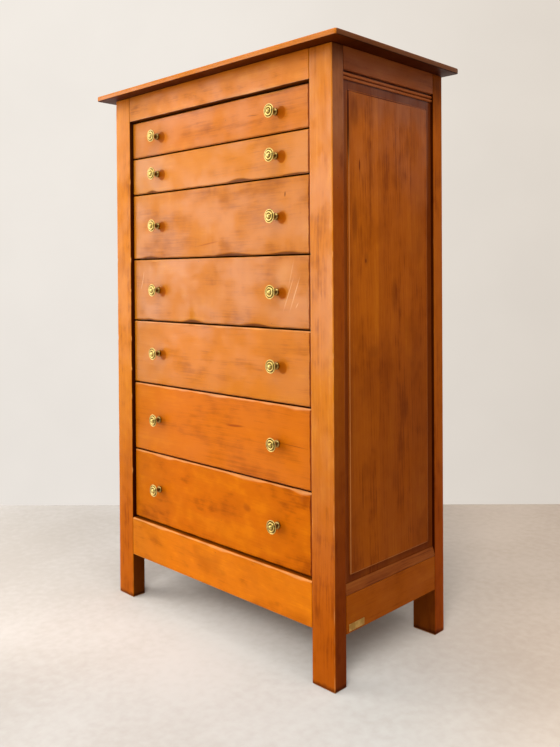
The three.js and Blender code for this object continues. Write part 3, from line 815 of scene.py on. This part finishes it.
# painted shade in the corner where the right post stands proud of the fronts, its sheen dulled too
POST_CORNER = (12.5 * MM, 9.5 * MM)
CORNER_TOOTH = 7 * MM
POST_CORNER_SHADE_TONE = (0.30, 0.14, 0.10, 1)
NICK_TONE = (0.09, 0.016, 0.001, 1)
FRONT_MARKS = {
    1: [((0.150, FACE, 1.232), (0, 0.05, 0), (0.026, 0.01, 0.0012), NICK_TONE, 0.6)],
    3: [
        ((-0.02, FACE, 0.945), (0, -0.12, 0), (0.055, 0.02, 0.0022), STREAK_TONE, 0.45),
        ((0.255, FACE, 1.046), (0, 0.1, 0), (0.0026, 0.01, 0.008), NICK_TONE, 0.8),
    ],
    4: [
        ((x, FACE, z), (0, math.radians(lean), 0), (0.0016, 0.01, half), SCRATCH_TONE, strength)
        for x, z, half, lean, strength in SCRATCHES
    ] + [PALE_RUB],
    6: [
        ((0.078, FACE, 0.515), (0, -0.06, 0), (0.040, 0.02, 0.004), STREAK_TONE, 0.75),
        ((0.275, FACE, 0.495), (0, 0.02, 0), (0.06, 0.02, 0.0012), STREAK_TONE, 0.85),
    ],
    7: [((0.12, FACE, 0.33), (0, 0.3, 0), (0.018, 0.02, 0.012), STREAK_TONE, 0.45)],
}


def drawer_front(n):
    node = f"drawer_{n}_front"
    tone, coat, stain, cloud, mottle, grain, ripple = FRONT_LOOKS[n]
    rim_strength, top_base, left_shade_share, left_dull, knob_shadow_strength, knob_shadow_core = FRONT_WEAR[n]
    bm, low, high, worn, shade = scored_front(node)
    rim(bm, shade, low, high, rim_strength, FRONT_RIM_REACH, n)
    # painted shade on the ends and edges of the front, which sit in the gaps
    for vert in bm.verts:
        vert[shade] = max(vert[shade], min(1, (vert.co.y - low.y - EDGE_SHADE_START) / EDGE_SHADE_FADE))
    face = (Y, low.y, -1)
    wear(bm, worn, X, face, (Z, high.z, 1), top_base, TOP_SCOOPS.get(n, ()), n)
    # the lower scoops are painted dark as shade, on a face that looks down
    wear(bm, shade, X, face, (Z, low.z, -1), BOTTOM_BASE, BOTTOM_SCOOPS.get(n, ()), n + 20, BOTTOM_SHADE)
    middle = (low.z + high.z) / 2
    marks = list(FRONT_MARKS.get(n, ()))
    # a painted shadow of each knob's head, to its right
    for side, _ in SIDES:
        place = (side * KNOB_X + KNOB_SHADOW_SHIFT[0], FACE, middle + KNOB_SHADOW_SHIFT[1])
        marks.append((place, (0, 0, 0), (KNOB_SHADOW_HALF,) * 3, KNOB_SHADOW_TONE, knob_shadow_strength, knob_shadow_core))
    # painted shade by the right post
    corner = [(X, high.x - POST_CORNER[0], high.x - POST_CORNER[1])]
    finish = varnished(
        f"front_{n}_varnish", tone, ALONG_X,
        place=(0.37 * n, 0.011 * n, 0.9 - 0.21 * n - middle),
        coat=coat, cloud=cloud, grain=grain, mottle=mottle, ripple=ripple, stain=stain, marks=marks,
        zones=[LEFT_END_PAINTED_SHADE[:2] + (left_shade_share,), (corner, POST_CORNER_SHADE_TONE, 0.9, CORNER_TOOTH)],
        dull=[(corner, 0.95, CORNER_TOOTH), ([(X, -0.05, -0.36)], left_dull)],
    )
    return stand_in(bm, f"worn_front_{n}", node, finish)


for n in DRAWERS:
    front = drawer_front(n)
    print(front.name, len(front.data.polygons), "faces")

# %% [markdown]
# ## Rails and posts
# The frieze rail over the drawers and the apron rail under them have the same wear as the fronts. The
# posts are darker towards the floor, and their inner faces are painted nearly black as shade. Under the
# top, the frieze and the posts carry a painted shadow of its overhang.

# %% Frieze and apron
# painted shadow of the top's overhang on the frieze and the front posts, where the sheen is dulled too
UNDER_TOP_PAINTED_SHADOW = ([(Z, 1.312, 1.346)], (0.66, 0.56, 0.45, 1), 1.0)
UNDER_TOP_DULL = ([(Z, 1.312, 1.346)], 0.75)
FRIEZE_DULL = ([(X, 0.25, -0.36)], 0.55)
FRIEZE_TONE = (0.72, 0.203, 0.004)
APRON_TONE = (0.76, 0.190, 0.003)
# painted shade in gaps, recesses and under edges
RECESS_SHADE_TONE = (0.16, 0.11, 0.10, 1)
RAIL_RIM = (0.3, 12)


def front_rail(node, tone, coat, stain, top_wear, bottom_wear, zones, seed):
    """The wear of an edge is its base width and its scoops. No wear at the top means None."""
    bm, low, high, worn, shade = scored_front(node)
    rim(bm, shade, low, high, *RAIL_RIM, seed)
    face = (Y, low.y, -1)
    if top_wear:
        wear(bm, worn, X, face, (Z, high.z, 1), *top_wear, seed)
    wear(bm, worn, X, face, (Z, low.z, -1), *bottom_wear, seed + 1)
    place = (0.1 * seed, 0.01 * seed, -(low.z + high.z) / 2 + 0.03)
    finish = varnished(node + "_varnish", tone, ALONG_X, place=place, coat=coat, stain=stain, grain=0.8,
                       zones=zones + [LEFT_END_PAINTED_SHADE, UNDER_TOP_PAINTED_SHADOW], dull=[UNDER_TOP_DULL, FRIEZE_DULL])
    return stand_in(bm, "worn_" + node, node, finish)


FRIEZE_WEAR = (1.6, [(158, 110, 4.5)])
APRON_TOP_WEAR = (3.8, [(-223, 56, 4), (25, 60, 4), (290, 60, 3)])
APRON_WEAR = (1.6, ())
frieze_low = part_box("frieze_rail")[0].z
apron_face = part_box("apron_rail")[0].y
# painted shade under the frieze and on the apron's edges behind its face
frieze_underside_shade = ([(Z, frieze_low + 1.6 * MM, frieze_low + 0.6 * MM)], RECESS_SHADE_TONE, 0.9)
apron_edge_shade = ([(Y, apron_face + 3 * MM, apron_face + 6 * MM)], RECESS_SHADE_TONE, 0.8)
frieze = front_rail("frieze_rail", FRIEZE_TONE, 0.57, 0.2, None, FRIEZE_WEAR, [frieze_underside_shade], 31)
apron = front_rail("apron_rail", APRON_TONE, 0.03, 0.5, APRON_TOP_WEAR, APRON_WEAR, [apron_edge_shade], 41)
for rail in (frieze, apron):
    print(rail.name, len(rail.data.polygons), "faces")

# %% Posts
POST_TONES = {
    "front_left": (0.64, 0.190, 0.004),
    "front_right": (0.655, 0.188, 0.004),
    "rear": (0.40, 0.090, 0.003),
}
POST_COATS = {"front_left": 0.15, "front_right": 0.50, "rear": 0.03}
POST_DULL = ([(Z, 0.58, 0.08)], 1.0)
POST_ROWS = (1, 2, 3, 4.5)
SOLE_ROWS = (1, 2, 3, 4)
POST_STEP = 6 * MM
# height, half length and extra width of each worn nick
POST_NICKS = [
    (620, 6, 2.2), (700, 9, 2), (912, 8, 2.2), (345, 12, 2), (1120, 10, 1.6), (830, 7, 1.6), (545, 8, 1.6),
]
FADE_TOOTH = 12 * MM
FOOT_FADE = (0.66, 0.16, (0.78, 0.58, 0.6, 1))
SOLE_FADE = (0.014, 0.003, (0.35, 0.30, 0.35, 1))


def post(node, side, kind, zones, dull, seed):
    low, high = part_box(node)
    bm = board_copy(node)
    worn = bm.verts.layers.float.new("worn")
    score(bm, Z, strips(low.z, high.z, POST_STEP) + [low.z + row * MM for row in SOLE_ROWS])
    for axis, edge, inward in ((X, low.x, 1), (X, high.x, -1), (Y, low.y, 1), (Y, high.y, -1)):
        score(bm, axis, [edge + inward * row * MM for row in POST_ROWS])
    outer = (X, high.x, 1) if side > 0 else (X, low.x, -1)
    inner = (X, low.x, -1) if side > 0 else (X, high.x, 1)
    if kind == "rear":
        wear(bm, worn, Z, (Y, high.y, 1), outer, 1.7, (), seed)
        wear(bm, worn, Z, (Y, low.y, -1), outer, 1.5, (), seed + 1)
    else:
        wear(bm, worn, Z, (Y, low.y, -1), inner, 1.7, POST_NICKS, seed)
        wear(bm, worn, Z, (Y, low.y, -1), outer, 2.1, POST_NICKS[1:3], seed + 1)
    foot = (Z, low.z, -1)
    faces = ((X, (Y, low.y, -1)), (X, (Y, high.y, 1)), (Y, (X, low.x, -1)), (Y, (X, high.x, 1)))
    for run, face in faces:
        wear(bm, worn, run, face, foot, 2.8, (), seed + 2)
    for high_end, low_end, tone in (FOOT_FADE, SOLE_FADE):
        zones = zones + [([(Z, high_end, low_end)], tone, 1.0, FADE_TOOTH)]
    if kind != "rear":
        zones = zones + [UNDER_TOP_PAINTED_SHADOW]
    place = (0.13 * seed, 0.017 * seed, 0.021 * seed)
    finish = varnished(node + "_varnish", POST_TONES[kind], ALONG_Z, place=place, coat=POST_COATS[kind],
                       stain=0.3, zones=zones, dull=[POST_DULL, UNDER_TOP_DULL] + dull)
    return stand_in(bm, "worn_" + node, node, finish)


# painted shade on the front posts' side faces, with a painted sheen in the blue of their upper part
SIDE_FACE_SHADE_TONE = (0.44, 0.295, 0.45, 1)
SIDE_UPPER_PAINTED_SHEEN = (1.0, 1.55, 13.0, 1)
SIDE_LOWER_TONE = (0.90, 1.02, 1.1, 1)
# painted shadow under the top, painted shade on the right foot and on the inner faces of the feet
UNDER_TOP_SHADOW_TONE = (0.62, 0.60, 0.75, 1)
RIGHT_FOOT_SHADE_TONE = (0.92, 0.88, 0.80, 1)
FOOT_INSIDE_SHADE_TONE = (0.60, 0.78, 1.6, 1)
APRON_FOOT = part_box("apron_rail")[0].z
for side, word in SIDES:
    low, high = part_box(f"front_post_{word}")
    inner_plane = low.x if side > 0 else high.x
    inner_face = (X, inner_plane + side * 1.4 * MM, inner_plane + side * 0.4 * MM)
    side_face = (Y, low.y + 1.0 * MM, low.y + 2.4 * MM)
    # painted shade and sheen on the side face, painted shadow under the top, painted shade on the inner face
    zones = [
        ([side_face], SIDE_FACE_SHADE_TONE, 1.0),
        ([side_face, (Z, 1.00, 1.20)], SIDE_UPPER_PAINTED_SHEEN, 1.0),
        ([side_face, (Z, 0.80, 0.55)], SIDE_LOWER_TONE, 1.0),
        ([side_face, (Z, 1.295, 1.345)], UNDER_TOP_SHADOW_TONE, 0.6),
        ([inner_face, (Z, APRON_FOOT - 6 * MM, APRON_FOOT + 6 * MM)], RECESS_SHADE_TONE, 1.0),
        ([inner_face, (Z, APRON_FOOT + 6 * MM, APRON_FOOT - 6 * MM)], FOOT_INSIDE_SHADE_TONE, 1.0),
    ]
    # painted shade on the right foot
    if side > 0:
        zones.append(([(Z, 0.22, 0.10)], RIGHT_FOOT_SHADE_TONE, 1.0))
    dull = [([side_face, (Z, 1.24, 1.02)], 0.9)]
    post(f"front_post_{word}", side, f"front_{word}", zones, dull, 3 + side)
    low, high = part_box(f"rear_post_{word}")
    reveal = (Y, low.y + 1.2 * MM, low.y + 0.3 * MM)
    # painted shade on the rear post's face in the recess and on its foot, painted shadow under the top
    zones = [
        ([reveal, (Z, 0.10, 0.13)], RECESS_SHADE_TONE, 1.0),
        ([reveal, (Z, 0.13, 0.10)], FOOT_INSIDE_SHADE_TONE, 1.0),
        ([(Z, 1.20, 1.31)], UNDER_TOP_SHADOW_TONE, 1.0),
    ]
    rear = post(f"rear_post_{word}", side, "rear", zones, [], 8 + side)
    print(rear.name, len(rear.data.polygons), "faces")

# %% [markdown]
# ## The top board
# The top is one plain board. Its corners are rounder than a router would leave them, and its arrises
# are soft. A box with two bevels gives that: first the four upright corners, then both outlines.

# %% Top board
TOP_CORNER = 7 * MM
TOP_ARRIS = 3.4 * MM
TOP_UNDER_ARRIS = 1.8 * MM
BACK_OF_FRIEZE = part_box("frieze_rail")[1].y
TOP_TONE = (0.58, 0.165, 0.006)
# the underside is painted dark as shade, and darker still behind the frieze
UNDERSIDE_SHADE_TONE = (0.155, 0.09, 0.06, 1)
END_GRAIN_TONE = (0.22, 0.22, 1.3, 1)
BEHIND_FRIEZE_SHADE_TONE = (0.6, 0.55, 0.5, 1)


def board_box(low, high):
    bm = bmesh.new()
    bmesh.ops.create_cube(bm, size=1)
    bmesh.ops.scale(bm, vec=high - low, verts=bm.verts[:])
    bmesh.ops.translate(bm, vec=(low + high) / 2, verts=bm.verts[:])
    return bm


def edges_at(bm, axis, place):
    """The edges that lie in one plane across an axis and join two faces."""
    flat = [e for e in bm.edges if all(abs(v.co[axis] - place) < FLAT for v in e.verts)]
    return [e for e in flat if len(e.link_faces) == 2]


def outline_edges(bm, height):
    """The edges that lie all round at one height."""
    return [e for e in edges_at(bm, Z, height) if any(abs(f.normal.z) < 0.5 for f in e.link_faces)]


def round_off(bm, edges, offset, segments):
    return bmesh.ops.bevel(
        bm, geom=edges, offset=offset, segments=segments, affect="EDGES", profile=0.5, material=-1
    )


def top_board():
    low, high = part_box("top_board")
    bm = board_box(low, high)
    upright = [e for e in bm.edges if abs(e.verts[0].co.z - e.verts[1].co.z) > 1 * MM]
    round_off(bm, upright, TOP_CORNER, 5)
    bm.normal_update()
    round_off(bm, outline_edges(bm, high.z), TOP_ARRIS, 4)
    bm.normal_update()
    round_off(bm, outline_edges(bm, low.z), TOP_UNDER_ARRIS, 3)
    underside = [(Z, low.z + 1.6 * MM, low.z + 0.3 * MM)]
    zones = [
        (underside, UNDERSIDE_SHADE_TONE, 1.0),
        ([(X, high.x - 3 * MM, high.x - 0.8 * MM)], END_GRAIN_TONE, 1.0),
        ([(X, low.x + 3 * MM, low.x + 0.8 * MM)], END_GRAIN_TONE, 1.0),
        (underside + [(Y, BACK_OF_FRIEZE - 60 * MM, BACK_OF_FRIEZE)], BEHIND_FRIEZE_SHADE_TONE, 1.0),
    ]
    finish = varnished("top_board_varnish", TOP_TONE, ALONG_X, place=(0.4, 0.2, -1.3), coat=0.3,
                       cloud=0.8, mottle=0.4, grain=0.8, zones=zones, dull=[(underside, 0.95)])
    return stand_in(bm, "soft_top_board", "top_board", finish)


print("top:", len(top_board().data.polygons), "faces")

# %% [markdown]
# ## Side frames
# The rails and the lower moulding of each side keep their measured solids. The raised panel is a copy
# with softer edges, and the reeded moulding over it is drawn anew. The panel is glued up from upright
# staves of different tone, so its finish adds a step where one stave meets the next.

# %% Raised panels
PANEL_TONE = (0.43, 0.100, 0.003)
# painted sheen: more blue on the margin round the field
MARGIN_PAINTED_SHEEN = (1.0, 0.98, 1.8, 1)
MARGIN_DEPTH = 3 * MM
MARGIN_LINE = 2.2 * MM
STAVE_FADE = (0.86, 0.82, 1.0, 1)
FIELD_ARRIS = 1.4 * MM
FIELD_LINE = 1.6 * MM
FIELD_CUTS = 12
EDGE_BAND = 3 * MM
FRONT_BAND = 40 * MM
RUBBED_BELOW = 1.15
BLOTCH_TONE = (0.13, 0.020, 0.002, 1)
# painted shadow lines along the field's upper front edge and over its head
FIELD_EDGE_SHADOW_TONE = (0.045, 0.010, 0.003, 1)
PANEL_ZONES = [
    # the steps from stave to stave, then the darker front, foot and head of the field, the head with a
    # painted sheen in its blue
    ([(Y, -0.0305, -0.0285)], STAVE_FADE, 1.0),
    ([(Y, 0.085, 0.088)], STAVE_FADE, 0.7),
    ([(Y, -0.088, -0.125)], (0.86, 0.82, 1.1, 1), 1.0, 0.02),
    ([(Z, 0.82, 0.58)], (0.78, 0.75, 1.0, 1), 1.0, 0.1),
    ([(Z, 1.18, 1.24)], (0.82, 0.84, 2.0, 1), 1.0, 0.04),
]
PANEL_DULL = ([(Z, 1.27, 0.95)], 0.96)
PANEL_MARKS = [
    # place along the depth, height, half width, half height, strength
    (-0.092, 1.103, 0.0035, 0.018, 0.85),
    (-0.055, 1.15, 0.0018, 0.014, 0.5),
    (-0.073, 0.898, 0.004, 0.007, 0.75),
    (-0.071, 0.902, 0.01, 0.022, 0.3),
    (-0.108, 0.985, 0.012, 0.06, 0.45),
    (-0.108, 1.215, 0.016, 0.045, 0.45),
    (0.026, 0.825, 0.016, 0.05, 0.35),
    (0.075, 1.16, 0.012, 0.04, 0.3),
    (-0.05, 0.7, 0.03, 0.02, 0.25),
    (0.06, 0.56, 0.022, 0.03, 0.3),
    (-0.08, 0.44, 0.018, 0.03, 0.25),
]


def raised_panel(side, word):
    node = f"side_panel_{word}"
    low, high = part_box(node)
    face = high.x if side > 0 else low.x
    bm = board_copy(node)
    worn = bm.verts.layers.float.new("worn")
    shade = bm.verts.layers.float.new("shade")
    margin_face = face - side * MARGIN_DEPTH
    ring = [f for f in bm.faces if all(abs(v.co.x - margin_face) < FLAT for v in f.verts)]
    ring_corners = {v for f in ring for v in f.verts}
    bmesh.ops.inset_region(bm, faces=ring, thickness=MARGIN_LINE, use_even_offset=True)
    # painted shade along both edges of the margin, at the frame and at the foot of the field
    for vert in ring_corners:
        vert[shade] = 0.7
    bmesh.ops.bisect_edges(bm, edges=edges_at(bm, X, face), cuts=FIELD_CUTS)
    outline = edges_at(bm, X, face)
    field_head = max(v.co.z for e in outline for v in e.verts)
    field_foot = min(v.co.z for e in outline for v in e.verts)
    field_front = min(v.co.y for e in outline for v in e.verts)
    made = round_off(bm, outline, FIELD_ARRIS, 2)
    field = [f for f in bm.faces if all(abs(v.co.x - face) < FLAT for v in f.verts)]
    bmesh.ops.inset_region(bm, faces=field, thickness=FIELD_LINE, use_even_offset=True)
    # on the field's rounded edge: painted shadow at the head and upper front, a painted highlight elsewhere
    for vert in made["verts"]:
        if not vert.is_valid:
            continue
        depth = abs(vert.co.x - face) / FIELD_ARRIS
        if vert.co.z > field_head - EDGE_BAND:
            vert[shade] = 0.6 * depth
        elif vert.co.y > low.y + FRONT_BAND:
            vert[worn] = 0.35 if vert.co.z < field_foot + EDGE_BAND else 0.18
        elif vert.co.z > RUBBED_BELOW:
            vert[shade] = 0.25 + 0.55 * depth
        else:
            vert[worn] = 0.5
    for piece in field:
        for vert in piece.verts:
            vert[worn] = 0
    margin = (X, face - side * 0.8 * MM, face - side * 2.4 * MM)
    front_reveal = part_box(f"front_post_{word}")[1].y
    moulding_foot, moulding_head = (corner.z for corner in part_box(f"upper_moulding_{word}"))
    under_moulding = [(Z, moulding_foot - 4 * MM, moulding_foot - 1 * MM), (Z, moulding_head, moulding_foot)]
    # the margin's painted sheen, then painted shade over the moulding, under it and by the front post
    zones = PANEL_ZONES + [
        ([margin], MARGIN_PAINTED_SHEEN, 1.0),
        ([(Z, moulding_head - 0.5 * MM, moulding_head + 0.5 * MM)], RECESS_SHADE_TONE, 1.0),
        (under_moulding, RECESS_SHADE_TONE, 0.8),
        ([(Y, front_reveal + 2.2 * MM, front_reveal + 1.2 * MM)], RECESS_SHADE_TONE, 1.0),
    ]
    marks = [
        ((face, y, z), (0, 0, 0), (0.01, half_width, half_height), BLOTCH_TONE, strength)
        for y, z, half_width, half_height, strength in PANEL_MARKS
    ] + [
        # two painted shadow lines, by the field's upper front edge and over its head
        ((face, field_front - 1.2 * MM, 1.19), (0, 0, 0), (0.01, 2.6 * MM, 0.11), FIELD_EDGE_SHADOW_TONE, 0.85, 0.6),
        ((face, -0.02, field_head + 0.8 * MM), (0, 0, 0), (0.01, 0.13, 1.8 * MM), FIELD_EDGE_SHADOW_TONE, 0.7, 0.6),
    ]
    finish = varnished(node + "_varnish", PANEL_TONE, ALONG_Z, place=(0.2, 0.3 + side, 0.1), coat=0.55,
                       cloud=0.9, grain=1.5, mottle=0.8, stain=0.5, zones=zones, marks=marks,
                       dull=[PANEL_DULL])
    return stand_in(bm, f"raised_panel_{word}", node, finish)


# %% Mouldings and side rails
REED_SHARE = 0.42
REED_STEPS = 8
REEDED_TONE = (0.36, 0.088, 0.014)
# painted shade in the quirk between the reeds
QUIRK_SHADE_TONE = (0.4, 0.3, 0.25, 1)


def reeded_moulding(side, word):
    """Two rounded reeds with a quirk between them, run along the top of the panel."""
    node = f"upper_moulding_{word}"
    low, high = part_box(node)
    back = low.x if side > 0 else high.x
    depth = high.x - low.x
    height = high.z - low.z
    reed = height * REED_SHARE / 2
    bm = bmesh.new()
    bm.verts.layers.float.new("worn")
    corners = [bm.verts.new((back, low.y, low.z))]
    for centre in (low.z + reed, high.z - reed):
        for step in range(REED_STEPS + 1):
            turn = math.pi * (step / REED_STEPS - 0.5)
            out = depth - reed + reed * math.cos(turn)
            corners.append(bm.verts.new((back + side * out, low.y, centre + reed * math.sin(turn))))
        if centre < (low.z + high.z) / 2:
            corners.append(bm.verts.new((back + side * (depth - 1.3 * reed), low.y, (low.z + high.z) / 2)))
    corners.append(bm.verts.new((back, low.y, high.z)))
    end = bm.faces.new(corners)
    grown = bmesh.ops.extrude_face_region(bm, geom=[end])["geom"]
    moved = [g for g in grown if isinstance(g, bmesh.types.BMVert)]
    bmesh.ops.translate(bm, vec=(0, high.y - low.y, 0), verts=moved)
    bmesh.ops.recalc_face_normals(bm, faces=bm.faces[:])
    quirk = (X, back + side * (depth - 0.75 * reed), back + side * (depth - 1.1 * reed))
    finish = varnished(node + "_varnish", REEDED_TONE, ALONG_Y, place=(0.3, 0.2, 0.3), coat=0.5,
                       stain=0.5, zones=[([quirk], QUIRK_SHADE_TONE, 0.9)])
    return stand_in(bm, f"reeded_moulding_{word}", node, finish)


def varnish_strip(node, tone, place, **looks):
    """A finish along the depth of the chest, on a solid that keeps its measured shape."""
    dress(node, varnished(node + "_varnish", tone, ALONG_Y, place=place, **looks))


def side_frame(side, word):
    panel = raised_panel(side, word)
    reeds = reeded_moulding(side, word)
    # the top rail's tone is kept dark as painted shade under the overhang of the top
    varnish_strip(f"side_top_rail_{word}", (0.30, 0.074, 0.016), (0.5, 0.1, 0.2 * side),
                  coat=0.24, cloud=1.5, stain=0.5)
    varnish_strip(f"side_bottom_rail_{word}", (0.34, 0.074, 0.002), (0.1, 0.4, 0.1 * side),
                  coat=0.04, stain=0.5)
    varnish_strip(f"lower_moulding_{word}", (0.25, 0.060, 0.010), (0.7, 0.2, 0.1),
                  coat=0.05, cloud=1.2, grain=2.2, stain=0.7)
    print(word, "panel:", len(panel.data.polygons), "faces, reeds:", len(reeds.data.polygons), "faces")


for side, word in SIDES:
    side_frame(side, word)
rail_wood = varnished("back_rail_varnish", (0.34, 0.09, 0.02), ALONG_X, place=(0.3, 0.6, 0.4), coat=0.1)
for end in ("top", "bottom"):
    dress(f"back_{end}_rail", rail_wood)

# %% [markdown]
# ## The knobs
# A knob is turned on a lathe, so spin is the honest tool: half its outline is drawn once and turned
# all the way round. The face has two raised rings with dark grooves between them and a small boss.
# Each point of the outline says how much brown has stayed there.

# %% Turn one knob
KNOB_STEPS = 48
KNOB_CREASE = math.radians(50)
KNOB_OUTLINE = [
    # radius, height over the face of the drawer, brown
    (0, -23.8, 0), (5.4, -23.8, 0), (5.5, -23.6, 0), (5.5, -20.5, 0), (5.4, -20.3, 0), (2.5, -20.3, 0),
    (2.5, 0.3, 0), (7.9, 0.3, 1), (8.3, 0.8, 1), (8.6, 2.0, 0.8), (8.4, 3.6, 0.55), (7.6, 5.0, 0.45),
    (6.2, 5.8, 0.8), (4.6, 6.8, 1), (3.8, 8.2, 1), (3.6, 10.4, 1), (4.0, 13.0, 0.9), (5.0, 15.2, 0.9),
    (8.0, 16.6, 0.9), (12.0, 17.6, 0.9), (14.4, 18.4, 0.9), (15.4, 19.2, 0.8), (15.7, 20.0, 0.6),
    (15.6, 20.8, 0.2), (15.1, 21.4, 0), (14.4, 21.6, 0), (13.7, 21.3, 0.2), (13.1, 20.6, 0.9),
    (12.4, 20.2, 1), (11.6, 20.4, 1), (11.1, 21.8, 0.5), (10.5, 22.8, 0), (9.5, 23.1, 0),
    (8.5, 23.0, 0), (7.8, 22.4, 0.2), (7.3, 21.7, 0.9), (6.6, 21.4, 1), (5.9, 21.6, 1),
    (5.4, 23.0, 0.5), (4.6, 24.4, 0.1), (3.3, 25.3, 0), (1.6, 25.9, 0), (0, 26.0, 0),
]


def turned_knob():
    bm = bmesh.new()
    brown = bm.verts.layers.float.new("groove")
    corners = []
    for radius, height, dark in KNOB_OUTLINE:
        corner = bm.verts.new((radius * MM, -height * MM, 0))
        corner[brown] = dark
        corners.append(corner)
    edges = [bm.edges.new(pair) for pair in zip(corners, corners[1:])]
    bmesh.ops.spin(bm, geom=corners + edges, cent=(0, 0, 0), axis=(0, 1, 0), angle=2 * math.pi,
                   steps=KNOB_STEPS, use_merge=True)
    bmesh.ops.remove_doubles(bm, verts=bm.verts[:], dist=MERGE)
    bmesh.ops.recalc_face_normals(bm, faces=bm.faces[:])
    return bm


for n in DRAWERS:
    for side, word in SIDES:
        node = f"drawer_{n}_knob_{word}"
        low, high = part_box(node)
        front_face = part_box(f"drawer_{n}_front")[0].y
        bm = turned_knob()
        place = ((low.x + high.x) / 2, front_face, (low.z + high.z) / 2)
        bmesh.ops.translate(bm, vec=place, verts=bm.verts[:])
        knob = stand_in(bm, f"turned_knob_{n}_{word}", node, BRASS, KNOB_CREASE)
print("knobs:", 2 * len(DRAWERS), "of", len(knob.data.polygons), "faces")

# %% [markdown]
# ## The brass plate
# A thin plate is pinned low on the right side. It is left bare. Its edge is filed round, and a small
# pin with a domed head holds each end.

# %% Plate and pins
PIN_RADIUS = 1.5 * MM
PIN_INSET = 3.6 * MM
PIN_FLATNESS = 0.25
PIN_SUNK = 0.05 * MM
PLATE_ARRIS = 0.5 * MM


def brass_plate():
    low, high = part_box("brass_plate")
    bm = board_box(low, high)
    bm.verts.layers.float.new("groove")
    round_off(bm, edges_at(bm, X, high.x), PLATE_ARRIS, 2)
    for y in (low.y + PIN_INSET, high.y - PIN_INSET):
        head = bmesh.ops.create_uvsphere(bm, u_segments=16, v_segments=8, radius=PIN_RADIUS)["verts"]
        bmesh.ops.scale(bm, vec=(PIN_FLATNESS, 1, 1), verts=head)
        bmesh.ops.translate(bm, vec=(high.x - PIN_SUNK, y, (low.z + high.z) / 2), verts=head)
    finish = brass_finish("plate_brass", 0.5, PLATE_BRIGHT, PLATE_DULL)
    return stand_in(bm, "bare_plate", "brass_plate", finish)


print("plate:", len(brass_plate().data.polygons), "faces")

# %% [markdown]
# ## Finish
# The visible chest has to be as big as the measured one, so the box of what is shown is found here.

# %% Sizes and finish
low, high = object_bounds()
